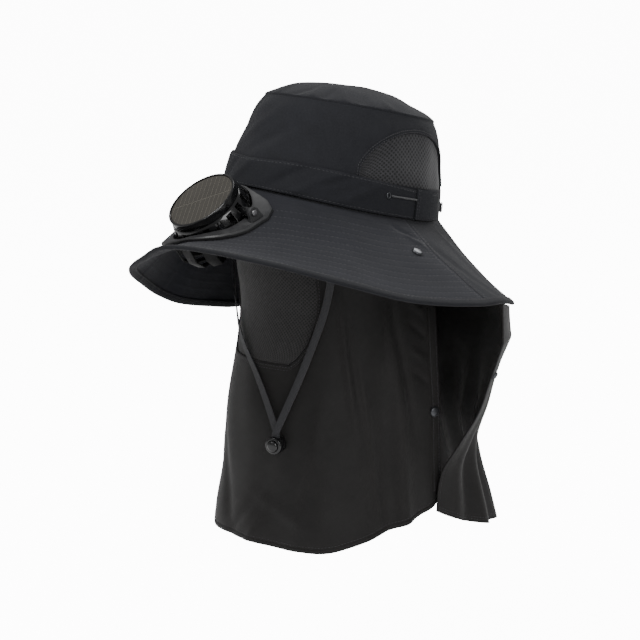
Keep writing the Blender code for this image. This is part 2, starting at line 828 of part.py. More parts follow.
def brim_tree():
    rows = brim_rows(front_azimuths())
    wide = len(rows[0])
    points = [PLATE_FRAME.inverted() @ p for row in rows for p in row]
    faces = []
    for r in range(len(rows) - 1):
        for c in range(wide - 1):
            a = r * wide + c
            faces.append((a, a + 1, a + wide + 1))
            faces.append((a, a + wide + 1, a + wide))
    return BVHTree.FromPolygons(points, faces)


BRIM_TREE = brim_tree()


def brim_level(x, y):
    """Height of the brim's upper face in the plate's frame."""
    hit = BRIM_TREE.ray_cast(Vector((x, y, 0.08)), Vector((0, 0, -1)))
    return hit[0].z


def make_fan_plate():
    """A thin plate that lies on the brim round the hole, with a raised bead at its front."""
    profile = ((0.0, 0, 0), (0.5, 0, 0), (1.0, 0, 0), (1.0, 1, 0), (0.90, 1, 1), (0.78, 1, 0),
               (0.4, 1, 0), (0.0, 1, 0))
    rings = []
    for c in range(30):
        angle = 360 * c / 30
        turn = angle if angle <= 180 else 360 - angle
        reach = PLATE_REACH * table_value(PLATE_SECTIONS, "reach", turn)
        front = 1 - smooth_step((turn - 100) / 30)
        ring = []
        for share, top, bead in profile:
            r = PLATE_HOLE_RADIUS + (reach - PLATE_HOLE_RADIUS) * share
            x = r * sin(radians(angle))
            y = -r * cos(radians(angle)) - HOLE_FORWARD
            level = brim_level(x, y) + PLATE_GAP + PLATE_THICKNESS * top + PLATE_BEAD * bead * front
            ring.append(PLATE_FRAME @ Vector((x, y, level)))
        rings.append(ring)
    plate = bar("fan_plate", rings, MATTE_PLASTIC, closed=True)
    for side in (1, -1):
        boolean(plate, ear_solid(side), "UNION")
        hole = cylinder("ear_hole_cutter_%s" % name_of(side), PIN_RADIUS + GAP, -0.01, 0.01,
                        pivot_frame(side), GLOSS_PLASTIC, CUTTERS, 12)
        boolean(plate, hole)


def pivot_frame(side):
    """A frame at the middle of an ear, whose Z runs out along the pivot axis."""
    turned = Matrix.Rotation(side * pi / 2, 4, "Y")
    turned.translation = Vector((side * EAR_PLACE, PIVOT_BACK, PIVOT_HEIGHT))
    return HEAD_FRAME @ turned


def ear_solid(side):
    """An upright ear with a round top about the pivot and its foot in the plate."""
    pivot = PLATE_FRAME.inverted() @ pivot_frame(side).translation
    rings = []
    for x in (pivot.x - EAR_THICKNESS / 2, pivot.x + EAR_THICKNESS / 2):
        ring = []
        for share in (0.55, -0.55):
            y = pivot.y + EAR_WIDTH * share
            foot = brim_level(x, y) + PLATE_GAP + PLATE_THICKNESS * 0.5
            ring.append(PLATE_FRAME @ Vector((x, y, foot)))
        for k in range(7):
            a = pi * k / 6
            ring.append(PLATE_FRAME @ Vector((x, pivot.y - EAR_WIDTH * 0.40 * cos(a),
                                              pivot.z + EAR_WIDTH * 0.40 * sin(a))))
        rings.append(ring)
    return bar("ear_%s" % name_of(side), rings, GLOSS_PLASTIC, collection=CUTTERS)


def slotted(name, frame, sections, radius, scale, ribs, look, full_rows, wall, pole=None):
    """A turned shell whose middle rows are cut into ribs. full_rows are left whole."""
    columns = 2 * ribs
    work = bmesh.new()
    rows = []
    for section in sections:
        ring = []
        for c in range(columns):
            a = 2 * pi * c / columns
            r = radius * section.radius
            ring.append(work.verts.new(frame @ Vector((r * cos(a), r * sin(a), scale * section.height))))
        rows.append(ring)
    for r in range(len(rows) - 1):
        for c in range(columns):
            if r in full_rows or c % 2 == 0:
                d = (c + 1) % columns
                work.faces.new((rows[r][c], rows[r + 1][c], rows[r + 1][d], rows[r][d]))
    if pole is not None:
        tip = work.verts.new(frame @ Vector((0, 0, pole)))
        for c in range(columns):
            work.faces.new((rows[-1][c], tip, rows[-1][(c + 1) % columns]))
    loose = [v for v in work.verts if not v.link_faces]
    bmesh.ops.delete(work, geom=loose, context="VERTS")
    mesh = bpy.data.meshes.new(name)
    work.to_mesh(mesh)
    work.free()
    return solidify(finish(name, mesh, look), wall, 0)


def make_under_grille():
    """It hangs under the brim, round the hole, and its upper edge follows the brim's underside."""
    columns = 2 * GRILLE_RIBS
    work = bmesh.new()
    rows = []
    under = BRIM_CLOTH * 1.15 + 3 * GAP
    for section in GRILLE_SECTIONS:
        ring = []
        for c in range(columns):
            a = 2 * pi * c / columns
            x = GRILLE_RADIUS * section.radius * cos(a)
            y = GRILLE_RADIUS * section.radius * sin(a) - HOLE_FORWARD
            rim = brim_level(GRILLE_RADIUS * cos(a), GRILLE_RADIUS * sin(a) - HOLE_FORWARD) - under
            level = rim + (-GRILLE_DEPTH - rim) * section.height
            ring.append(work.verts.new(PLATE_FRAME @ Vector((x, y, level))))
        rows.append(ring)
    for r in range(len(rows) - 1):
        for c in range(columns):
            if r == 0 or c % 2 == 0:
                d = (c + 1) % columns
                work.faces.new((rows[r][c], rows[r][d], rows[r + 1][d], rows[r + 1][c]))
    tip = work.verts.new(PLATE_FRAME @ Vector((0, -HOLE_FORWARD, -GRILLE_DEPTH * 1.03)))
    for c in range(columns):
        work.faces.new((rows[-1][c], rows[-1][(c + 1) % columns], tip))
    mesh = bpy.data.meshes.new("under_grille")
    work.to_mesh(mesh)
    work.free()
    solidify(finish("under_grille", mesh, GLOSS_PLASTIC), GRILLE_WALL, -1)


def make_fan_cage():
    cage = slotted("fan_cage", HEAD_FRAME, CAGE_SECTIONS, CAGE_RADIUS, RIM_LOW, CAGE_RIBS, GLOSS_PLASTIC,
                   (0, 3), CAGE_WALL)
    inner = EAR_PLACE - EAR_THICKNESS / 2
    for side in (1, -1):
        turned = Matrix.Rotation(side * pi / 2, 4, "Y")
        turned.translation = Vector((0, PIVOT_BACK, PIVOT_HEIGHT))
        place = HEAD_FRAME @ turned
        start = sqrt(CAGE_RADIUS ** 2 - PIVOT_BACK ** 2) - 2.2 * CAGE_WALL
        boss = cylinder("boss_%s" % name_of(side), BOSS_RADIUS, start, inner - GAP, place,
                        GLOSS_PLASTIC, CUTTERS, 12)
        boolean(cage, boss, "UNION")
        socket = cylinder("socket_%s" % name_of(side), PIN_RADIUS + GAP, inner - 0.0045,
                          inner + 0.002, place, GLOSS_PLASTIC, CUTTERS, 12)
        boolean(cage, socket)


def make_solar_disc():
    """The rim is a shallow cup whose floor carries the motor and whose recess holds the cell."""
    profile = ((0.0, RIM_LOW), (0.93, RIM_LOW), (1.0, RIM_LOW + 0.0024),
               (1.0, RIM_TOP - 0.0012), (0.975, RIM_TOP), (1 - RIM_WALL / DISC_RADIUS, RIM_TOP),
               (1 - RIM_WALL / DISC_RADIUS, RIM_TOP - CELL_THICKNESS - CELL_SINK),
               (0.0, RIM_TOP - CELL_THICKNESS - CELL_SINK))
    columns = 32
    rings = []
    for c in range(columns):
        a = 2 * pi * c / columns
        rings.append([HEAD_FRAME @ Vector((DISC_RADIUS * r * cos(a), DISC_RADIUS * r * sin(a), z))
                      for r, z in profile])
    points = [rings[0][0], rings[0][-1]]
    inner = len(profile) - 2
    faces = []
    for ring in rings:
        points += ring[1:-1]
    for c in range(columns):
        a = 2 + c * inner
        b = 2 + ((c + 1) % columns) * inner
        for k in range(inner - 1):
            faces.append((a + k, b + k, b + k + 1, a + k + 1))
        faces.append((0, b, a))
        faces.append((1, a + inner - 1, b + inner - 1))
    mesh_object("solar_rim", points, faces, GLOSS_PLASTIC)
    radius = DISC_RADIUS - RIM_WALL - GAP
    low = RIM_TOP - CELL_THICKNESS - CELL_SINK + GAP
    cylinder("solar_cell", radius, low, low + CELL_THICKNESS - GAP, HEAD_FRAME, CELL, sides=32)


def make_motor_and_impeller():
    top = RIM_LOW - GAP
    cylinder("fan_motor", MOTOR_RADIUS, top - MOTOR_HEIGHT, top, HEAD_FRAME, GLOSS_PLASTIC, sides=20)
    high = top - MOTOR_HEIGHT - GAP
    low = high - IMPELLER_HEIGHT
    hub = cylinder("impeller", IMPELLER_HUB, low, high, Matrix(), GLOSS_PLASTIC, sides=20)
    hub.matrix_world = HEAD_FRAME
    for k in range(BLADE_COUNT):
        turn = Matrix.Rotation(2 * pi * k / BLADE_COUNT, 4, "Z")
        rings = []
        for share in (0.0, 0.35, 0.7, 1.0):
            r = IMPELLER_HUB * 0.8 + (IMPELLER_RADIUS - IMPELLER_HUB * 0.8) * share
            sweep = 0.30 * share
            half = radians(13 + 9 * share)
            rise = (IMPELLER_HEIGHT / 2 - BLADE_THICKNESS) * (0.9 - 0.35 * share)
            middle = (low + high) / 2
            ring = []
            for a, z in ((-half, rise), (half, -rise)):
                ring.append(turn @ Vector((r * cos(a + sweep), r * sin(a + sweep),
                                           middle + z + BLADE_THICKNESS / 2)))
            for a, z in ((half, -rise), (-half, rise)):
                ring.append(turn @ Vector((r * cos(a + sweep), r * sin(a + sweep),
                                           middle + z - BLADE_THICKNESS / 2)))
            rings.append(ring)
        blade = bar("blade_%d" % k, rings, GLOSS_PLASTIC, collection=CUTTERS)
        blade.matrix_world = HEAD_FRAME
        boolean(hub, blade, "UNION")


def make_pivot_screws():
    for side in (1, -1):
        axis = pivot_frame(side)
        out = EAR_THICKNESS / 2 + GAP
        screw = cylinder("pivot_screw_%s" % name_of(side), PIN_RADIUS * 1.8, out, out + 0.0012, axis,
                         GUNMETAL, sides=12, bevel=0.0005)
        shaft = cylinder("shaft_%s" % name_of(side), PIN_RADIUS, -EAR_THICKNESS / 2 - 0.0036,
                         out + 0.0004, axis, GUNMETAL, CUTTERS, 12)
        boolean(screw, shaft, "UNION")


# The veil, in the world, with its azimuth round a face
def veil_plan(azimuth, height, out=0.0):
    low, high = VEIL_DROP * VEIL_SECTIONS[0].height, VEIL_DROP * VEIL_SECTIONS[-1].height
    level = max(low, min(high, height)) / VEIL_DROP
    width = VEIL_HALF_WIDTH * table_value(VEIL_SECTIONS, "half_width", level)
    front = VEIL_FRONT * table_value(VEIL_SECTIONS, "front", level)
    rear = VEIL_REAR_HALF_WIDTH * table_value(VEIL_SECTIONS, "rear_half_width", level)
    if height > high:
        t = min(1.0, (height - high) / -high)
        seat = HEAD_HALF_WIDTH - CROWN_CLOTH - 6 * GAP
        width += (seat - 2 * GAP - width) * t
        rear += (seat * sqrt(1 - (VEIL_REAR / HEAD_HALF_LENGTH) ** 2) - 11 * GAP - rear) * t
        front += (HEAD_HALF_LENGTH - VEIL_CENTRE - CROWN_CLOTH - 4 * GAP - front) * t
    side = 1 if azimuth >= 0 else -1
    turn = abs(azimuth)
    if turn <= 90:
        a = radians(turn)
        place = Vector((side * width * sin(a), -VEIL_CENTRE - front * cos(a), height))
        normal = Vector((side * front * sin(a), -width * cos(a), 0)).normalized()
    else:
        t = (turn - 90) / 45
        place = Vector((side * (width + (rear - width) * t),
                        -VEIL_CENTRE + (VEIL_CENTRE + VEIL_REAR) * t, height))
        normal = Vector((side, 0, 0))
    bulge = 0.0
    for fold in VEIL_FOLDS:
        near = (azimuth - fold.azimuth) / fold.width
        deep = smooth_step((fold.start * VEIL_DROP - height) / VEIL_FOLD_RUN)
        bulge += VEIL_FOLD_DEPTH * fold.depth * deep / (1 + near ** 4 + near ** 2)
    return place + normal * (bulge + out)


def veil_edge(azimuth, column):
    return VEIL_DROP * table_value(VEIL_EDGES, column, abs(azimuth))


def veil_azimuths():
    return spread(-135, 135, 31)


def make_veil():
    azimuths = veil_azimuths()
    rows = []
    for share in (0.0, 0.12, 0.28, 0.45, 0.62, 0.8, 1.0):
        row = []
        for azimuth in azimuths:
            top = veil_edge(azimuth, "top")
            hem = veil_edge(azimuth, "hem")
            row.append(veil_plan(azimuth, top + (hem - top) * share))
        rows.append(row)
    veil = solidify(sheet("veil", rows, VEIL_MATERIAL, flip=True), VEIL_CLOTH)
    boolean(veil, window_cutter())
    for side in (1, -1):
        frame = veil_frame(side * 130, -0.186, 2 * GAP)
        cylinder("veil_snap_%s" % name_of(side), SNAP_RADIUS * 1.1, 0, SNAP_HEIGHT * 1.4, frame,
                 GUNMETAL, sides=14, bevel=SNAP_HEIGHT)


def veil_frame(azimuth, height, out):
    origin = veil_plan(azimuth, height, out)
    along = veil_plan(azimuth + 0.5, height, out) - veil_plan(azimuth - 0.5, height, out)
    up = veil_plan(azimuth, height + 0.002, out) - veil_plan(azimuth, height - 0.002, out)
    return facing(origin, along.cross(up), up)


def window_place(u, v, inset):
    """Across and down the net window, v from its top at 1 to its bottom at 0."""
    girth = radians(1) * VEIL_FRONT * VEIL_SECTIONS[-3].front
    height = WINDOW_BOTTOM + inset + (WINDOW_TOP - WINDOW_BOTTOM - 2 * inset) * v
    half = table_value(WINDOW_SECTIONS, "half_angle", 1 - v) - inset / girth
    return half * u, height


def window_cutter():
    def place(u, v, out):
        azimuth, height = window_place(u, v, 0)
        return veil_plan(azimuth, height, out)
    return curved_cutter("window_cutter", place, *WINDOW_CELLS, 4 * VEIL_CLOTH)


def make_veil_mesh():
    def place(u, v):
        azimuth, height = window_place(u, v, 2 * GAP)
        return veil_plan(azimuth, height, -VEIL_CLOTH / 2)
    lattice("veil_mesh", place, *WINDOW_CELLS, NET, NET_THICKNESS)


# The chin strap and its lock
def strap_route():
    """Middle points of the strap with its surface normals, near anchor to far anchor."""
    def down(places, side):
        anchor = crown_point(side * STRAP_ANCHOR_AZIMUTH, STRAP_ANCHOR_HEIGHT,
                             -CROWN_CLOTH - 5 * GAP - STRAP_THICKNESS / 2)
        points = [(anchor, normal_at(side * STRAP_ANCHOR_AZIMUTH))]
        lift = STRAP_CLEARANCE + (STRAP_THICKNESS * 1.6 if side > 0 else 0)
        for place in places:
            height = -TOGGLE_HEIGHT * place.height
            point = veil_plan(place.azimuth, height, STRAP_SLACK * place.out + lift)
            points.append((point, normal_at(place.azimuth)))
        return points

    def normal_at(azimuth):
        a = radians(azimuth)
        return Vector((sin(a), -cos(a), 0))

    normal = toggle_normal()
    centre = toggle_centre()
    half = STRAP_THICKNESS * 0.9
    near = down(STRAP_PLACES, 1)
    far = down(FAR_STRAP_PLACES, -1)
    bend = []
    for height, depth in ((0.0050, half), (0.0, half), (-0.0040, half)):
        bend.append((centre + Vector((0, 0, height)) + normal * depth, normal))
    for k in range(1, 6):
        a = pi * k / 6
        turn = Vector((0, 0, -half * sin(a))) + normal * (half * cos(a))
        bend.append((centre + Vector((0, 0, -0.0040)) + turn, normal))
    for height, depth in ((-0.0040, -half), (0.0, -half), (0.0050, -half)):
        bend.append((centre + Vector((0, 0, height)) + normal * depth, normal))
    return near, bend, list(reversed(far))


def toggle_normal():
    a = radians(TOGGLE_AZIMUTH)
    return Vector((sin(a), -cos(a), 0))


def toggle_centre():
    return veil_plan(TOGGLE_AZIMUTH, TOGGLE_HEIGHT, TOGGLE_DEPTH / 2 + STRAP_CLEARANCE)


def smooth_line(points, count):
    """Points on a Catmull-Rom curve through the given ones, count to each span."""
    ends = [points[0] * 2 - points[1]] + points + [points[-1] * 2 - points[-2]]
    line = []
    for i in range(len(points) - 1):
        a, b, c, d = ends[i:i + 4]
        for k in range(count):
            t = k / count
            line.append(0.5 * ((2 * b) + (c - a) * t + (2 * a - 5 * b + 4 * c - d) * t * t
                               + (3 * b - a - 3 * c + d) * t ** 3))
    line.append(points[-1].copy())
    return line


def make_chin_strap():
    near, bend, far = strap_route()
    route = near + bend + far
    places = smooth_line([p for p, n in route], 2)
    normals = smooth_line([n for p, n in route], 2)
    low = (len(near) + 1) * 2
    high = (len(near) + len(bend) - 2) * 2
    rings = []
    last = len(places) - 1
    bend_width = Vector((0, 0, -1)).cross(toggle_normal()).normalized()
    for i, place in enumerate(places):
        along = (places[min(last, i + 1)] - places[max(0, i - 1)]).normalized()
        normal = normals[i].normalized()
        if low <= i <= high:
            width = bend_width
        else:
            width = along.cross(normal).normalized() * (1 if i < low else -1)
        thick = width.cross(along).normalized()
        half = width * (STRAP_WIDTH / 2)
        deep = thick * (STRAP_THICKNESS / 2)
        rings.append([place + half + deep, place - half + deep, place - half - deep, place + half - deep])
    bar("chin_strap", rings, BAND_CLOTH)


def make_toggle():
    frame = facing(toggle_centre(), toggle_normal(), Vector((0, 0, 1)))
    low, high = -TOGGLE_DEPTH / 2, TOGGLE_DEPTH / 2
    body = cylinder("strap_toggle_body", TOGGLE_RADIUS, low, high, frame, GLOSS_PLASTIC, sides=24,
                    bevel=0.0015)
    slot = bpy.data.meshes.new("strap_slot_cutter")
    work = bmesh.new()
    bmesh.ops.create_cube(work, size=1.0)
    size = (STRAP_WIDTH + 6 * GAP, 0.04, STRAP_SLOT)
    bmesh.ops.scale(work, vec=size, verts=work.verts)
    bmesh.ops.transform(work, matrix=frame, verts=work.verts)
    work.to_mesh(slot)
    work.free()
    boolean(body, finish("strap_slot_cutter", slot, GLOSS_PLASTIC, CUTTERS))
    floor = STRAP_SLOT / 2 + 0.0008
    well = cylinder("button_well_cutter", BUTTON_RADIUS + GAP, floor, high + 0.01, frame, GLOSS_PLASTIC,
                    CUTTERS, 24)
    boolean(body, well)
    cylinder("strap_toggle_button", BUTTON_RADIUS, floor + BUTTON_TRAVEL + GAP, high + 0.0022, frame,
             GLOSS_PLASTIC, sides=24, bevel=0.0016)


# The neck cape: t runs from -1 at the wearer's left front edge, round the rear, to 1 at the right
def cape_point(t, height, out=0.0):
    level = max(CAPE_SECTIONS[0].height, min(CAPE_SECTIONS[-1].height, height / CAPE_DROP))
    width = CAPE_HALF_WIDTH * table_value(CAPE_SECTIONS, "half_width", level)
    edge = CAPE_REAR * table_value(CAPE_SECTIONS, "edge", level)
    rear = CAPE_REAR * table_value(CAPE_SECTIONS, "rear", level)
    flare = CAPE_REAR * table_value(CAPE_SECTIONS, "flare", level)
    pinch = table_value(CAPE_SECTIONS, "pinch", level)
    a = pi / 2 * max(-1.0, min(1.0, t))
    side = -1 if a > 0 else 1
    x = side * width * abs(sin(a)) ** pinch - flare * sin(2 * a)
    y = edge + (rear - edge) * max(0.0, cos(a)) ** pinch
    normal = Vector((-(rear - edge) * sin(a), width * cos(a), 0)).normalized()
    deep = smooth_step((-CAPE_FOLD_START - height) / CAPE_FOLD_RUN) * CAPE_FOLD_DEPTH
    fade = 1 - smooth_step((abs(t) - 0.75) / 0.2)
    return Vector((x, y, height)) + normal * (deep * fade * cos(t * CAPE_FOLDS * pi) + out)


def cape_top(t):
    """The cape's upper edge, close under the brim's binding."""
    azimuth = 180 + (180 - CAPE_TOP_AZIMUTH) * t
    shown = azimuth if azimuth <= 180 else azimuth - 360
    place, out, up = edge_frame(shown)
    return binding_centre(shown) - up * (BINDING_THICKNESS / 2 + 4 * GAP)


def make_neck_cape():
    shares = spread(-1, 1, 21)
    top = [cape_top(t) for t in shares]
    rows = [top]
    first = CAPE_DROP * CAPE_SECTIONS[-1].height
    for drop in CAPE_ROWS:
        row = []
        for t, start in zip(shares, top):
            hem = CAPE_HEM_REAR + (CAPE_HEM_SIDE - CAPE_HEM_REAR) * abs(t) ** 3
            height = start.z + (hem - start.z) * drop
            place = cape_point(t, height)
            if height > first:
                mix = (start.z - height) / max(1e-6, start.z - first)
                side = start + (cape_point(t, first) - start) * mix
                place = Vector((side.x, side.y, height))
            row.append(place)
        rows.append(row)
    solidify(sheet("neck_cape", rows, VEIL_MATERIAL, flip=True), CAPE_CLOTH)
    for side in (1, -1):
        column = 0 if side > 0 else len(shares) - 2
        frame = cell_frame(rows, int(CAPE_SNAP_SHARE * len(rows)), column, 3 * GAP)
        cylinder("cape_snap_%s" % name_of(side), SNAP_RADIUS * 0.8, 0, SNAP_HEIGHT, frame, GUNMETAL,
                 sides=12, bevel=SNAP_HEIGHT * 0.6)


def cell_frame(rows, row, column, lift):
    """A frame at the middle of one cell of a flipped sheet, whose Z points out of its face."""
    a = rows[row][column]
    b = rows[row][column + 1]
    c = rows[row + 1][column]
    middle = (a + b + c + rows[row + 1][column + 1]) / 4
    normal = (c - a).cross(b - a).normalized()
    return facing(middle + normal * lift, normal, a - c)


def set_pivot(name, point):
    """Moves an object's origin to a point, its shape staying where it is."""
    piece = bpy.data.objects[name]
    piece.data.transform(Matrix.Translation(-point))
    piece.location = point


def smooth_faces(angle):
    """Smooth shading on every piece, with edges sharper than the angle left sharp."""
    for piece in HAT.objects:
        if piece.type == "MESH":
            piece.data.shade_smooth()
            piece.data.set_sharp_from_angle(angle=angle)


make_crown_wall()
make_crown_top()
make_mesh_vents()
make_hat_band()
make_cords_and_eyelets()
make_brim()
make_brim_binding()
make_brim_snaps()
make_fan_plate()
make_under_grille()
make_fan_cage()
make_solar_disc()
make_motor_and_impeller()
make_pivot_screws()
make_veil()
make_veil_mesh()
make_chin_strap()
make_toggle()
make_neck_cape()
for moving in ("fan_cage", "solar_rim", "solar_cell", "fan_motor"):
    set_pivot(moving, pivot_frame(0).translation)
set_pivot("strap_toggle_button", toggle_centre())
smooth_faces(radians(40))
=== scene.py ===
"""Solar fan hat: cloth, net, cords, stitching and moulded plastic around the fixed solids.

Metres, +Z up. The front of the hat is -Y and the wearer's left is +X. Azimuths are degrees round the
hat from the front, growing towards the wearer's left.
"""
from bisect import bisect_right
from collections import namedtuple
from math import atan2, cos, degrees, exp, floor, hypot, pi, radians, sin, sqrt

import bmesh
import bpy
from mathutils import Matrix, Vector, noise


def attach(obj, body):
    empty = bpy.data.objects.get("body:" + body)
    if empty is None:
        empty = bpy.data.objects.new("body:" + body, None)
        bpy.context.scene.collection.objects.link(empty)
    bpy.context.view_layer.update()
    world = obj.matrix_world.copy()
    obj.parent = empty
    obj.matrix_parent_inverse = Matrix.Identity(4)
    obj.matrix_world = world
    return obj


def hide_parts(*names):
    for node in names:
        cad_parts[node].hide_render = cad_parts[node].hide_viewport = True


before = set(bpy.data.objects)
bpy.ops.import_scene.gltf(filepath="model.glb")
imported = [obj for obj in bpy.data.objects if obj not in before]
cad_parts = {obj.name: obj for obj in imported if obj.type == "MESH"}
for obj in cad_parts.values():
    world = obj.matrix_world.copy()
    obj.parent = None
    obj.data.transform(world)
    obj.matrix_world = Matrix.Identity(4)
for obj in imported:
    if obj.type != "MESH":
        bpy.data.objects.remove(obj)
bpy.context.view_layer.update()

bpy.ops.object.select_all(action="DESELECT")

# Camera
# It looks from the wearer's front left, a little above the brim, at the photo's angle.
CAMERA_AZIMUTH = 50
CAMERA_ELEVATION = 12.5
CAMERA_DISTANCE = 1.5
METRES_PER_PIXEL = 0.00091
TARGET_ACROSS = -0.01183
TARGET_UP = -0.10966
SENSOR = 36


def make_camera():
    a = radians(CAMERA_AZIMUTH)
    e = radians(CAMERA_ELEVATION)
    right = Vector((cos(a), sin(a), 0))
    up = Vector((-sin(a) * sin(e), cos(a) * sin(e), cos(e)))
    back = Vector((sin(a) * cos(e), -cos(a) * cos(e), sin(e)))
    data = bpy.data.cameras.new("camera")
    data.sensor_width = SENSOR
    data.lens = SENSOR * CAMERA_DISTANCE / (640 * METRES_PER_PIXEL)
    camera = bpy.data.objects.new("camera", data)
    bpy.context.scene.collection.objects.link(camera)
    turn = Matrix((right, up, back)).transposed().to_4x4()
    turn.translation = right * TARGET_ACROSS + up * TARGET_UP + back * CAMERA_DISTANCE
    camera.matrix_world = turn
    bpy.context.scene.camera = camera


make_camera()

# Draw cords
# Thin round braided cords: one on each side from a small metal eyelet to the cloth keeper on the
# band, and one round the back of the crown between the two chrome rings.
GAP = 0.0003
HAT_PITCH = 12
HEAD_HALF_WIDTH = 0.0885
HEAD_HALF_LENGTH = 0.1055
CROWN_HEIGHT = 0.083
CROWN_SLANT = 0.003
SIDE_DIP = 0.0062
BAND_THICKNESS = 0.0030
KEEPER_AZIMUTH = 99
CORD_RADIUS = 0.0008
CORD_HEIGHT = 0.0165
EYELET_AZIMUTH = 81
EYELET_RADIUS = 0.0026
EYELET_WIRE = 0.0006
RING_AZIMUTH = 144
RING_HEIGHT = 0.0105
RING_RADIUS = 0.0040
RING_WIRE = 0.0012
REAR_CORD_RADIUS = 0.0011
PITCHED = Matrix.Rotation(-radians(HAT_PITCH), 3, "X")

CrownSection = namedtuple("CrownSection", "height size")
CROWN_SECTIONS = (
    CrownSection(0.00, 1.000),
    CrownSection(0.37, 0.965),
    CrownSection(0.55, 0.925),
    CrownSection(0.76, 0.880),
    CrownSection(0.90, 0.840),
    CrownSection(1.00, 0.790),
)


def table_value(rows, column, at):
    """A smooth value of one column of a table, whose first column is the place along it."""
    keys = [row[0] for row in rows]
    values = [getattr(row, column) for row in rows]
    i = max(0, min(len(rows) - 2, bisect_right(keys, at) - 1))
    span = keys[i + 1] - keys[i]
    t = max(0.0, min(1.0, (at - keys[i]) / span))

    def slope(k):
        low = max(0, k - 1)
        high = min(len(rows) - 1, k + 1)
        return (values[high] - values[low]) / (keys[high] - keys[low])

    start = slope(i) * span
    end = slope(i + 1) * span
    rise = values[i + 1] - values[i]
    return (values[i] + t * start + t * t * (3 * rise - 2 * start - end)
            + t * t * t * (start + end - 2 * rise))


def smooth_step(t):
    t = max(0.0, min(1.0, t))
    return t * t * (3 - 2 * t)


def spread(low, high, count):
    return [low + (high - low) * i / (count - 1) for i in range(count)]


def opening_point(azimuth, size=1.0, out=0.0):
    a = radians(azimuth)
    x = HEAD_HALF_WIDTH * size * sin(a)
    y = -HEAD_HALF_LENGTH * size * cos(a)
    normal = Vector((HEAD_HALF_LENGTH * sin(a), -HEAD_HALF_WIDTH * cos(a), 0)).normalized()
    return Vector((x, y, 0)) + normal * out


def side_dip(azimuth):
    return SIDE_DIP * max(0.0, sin(radians(azimuth))) ** 2


def crown_point(azimuth, height, out=0.0):
    share = height / CROWN_HEIGHT
    place = opening_point(azimuth, table_value(CROWN_SECTIONS, "size", share), out)
    place.y += CROWN_SLANT * share
    place.z = height - side_dip(azimuth) * (1 - share)
    return PITCHED @ place


def turn_for(length, azimuth):
    a = radians(azimuth)
    radius = sqrt((HEAD_HALF_WIDTH * cos(a)) ** 2 + (HEAD_HALF_LENGTH * sin(a)) ** 2)
    return degrees(length / radius)


def name_of(side):
    return "left" if side > 0 else "right"


def new_material(name, colour, roughness, metallic=0.0):
    """A material with its shader, and the nodes that further sections wire to it."""
    made = bpy.data.materials.new(name)
    made.use_nodes = True
    shader = made.node_tree.nodes["Principled BSDF"]
    shader.inputs["Base Color"].default_value = (*colour, 1.0)
    shader.inputs["Roughness"].default_value = roughness
    shader.inputs["Metallic"].default_value = metallic
    return made, made.node_tree, shader


def add_node(tree, kind, inputs=(), **settings):
    node = tree.nodes.new(kind)
    for key, value in settings.items():
        setattr(node, key, value)
    for key, value in dict(inputs).items():
        if hasattr(value, "is_output"):
            tree.links.new(value, node.inputs[key])
        else:
            node.inputs[key].default_value = value
    return node


def colour_mix(tree, factor, dark, light):
    """A colour between two others by a value."""
    mix = add_node(tree, "ShaderNodeMix", data_type="RGBA")
    for socket, value in ((0, factor), (6, dark), (7, light)):
        if hasattr(value, "is_output"):
            tree.links.new(value, mix.inputs[socket])
        elif isinstance(value, tuple):
            mix.inputs[socket].default_value = (*value, 1.0)
        else:
            mix.inputs[socket].default_value = value
    return mix.outputs[2]


def cord_look():
    """Dark braided cord: diamond braid from two crossed waves along the cord."""
    made, tree, shader = new_material("braided_cord", (0.05, 0.05, 0.055), 0.75)
    place = add_node(tree, "ShaderNodeTexCoord").outputs["Object"]
    waves = []
    for turn in (0.8, -0.8):
        spun = add_node(tree, "ShaderNodeMapping", {"Vector": place, "Rotation": (turn, 0.4, turn)})
        waves.append(add_node(tree, "ShaderNodeTexWave", {"Vector": spun.outputs[0], "Scale": 500.0}))
    braid = add_node(tree, "ShaderNodeMath", {0: waves[0].outputs["Fac"], 1: waves[1].outputs["Fac"]},
                     operation="MAXIMUM")
    tree.links.new(colour_mix(tree, braid.outputs[0], (0.012, 0.012, 0.015), (0.055, 0.056, 0.062)),
                   shader.inputs["Base Color"])
    bump = add_node(tree, "ShaderNodeBump", {"Height": braid.outputs[0], "Distance": 0.0003,
                                              "Strength": 0.8})
    tree.links.new(bump.outputs[0], shader.inputs["Normal"])
    shader.inputs["Sheen Weight"].default_value = 0.25
    return made


BRAIDED_CORD = cord_look()


def lay_cord(name, points, radius):
    curve = bpy.data.curves.new(name, "CURVE")
    curve.dimensions = "3D"
    curve.bevel_depth = radius
    curve.bevel_resolution = 3
    curve.use_fill_caps = True
    spline = curve.splines.new("POLY")
    spline.points.add(len(points) - 1)
    for point, place in zip(spline.points, points):
        point.co = (*place, 1.0)
    cord = bpy.data.objects.new(name, curve)
    bpy.context.scene.collection.objects.link(cord)
    cord.data.materials.append(BRAIDED_CORD)
    length = sum((b - a).length for a, b in zip(points, points[1:]))
    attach(cord, "root")
    tuple(points[0])
    return cord


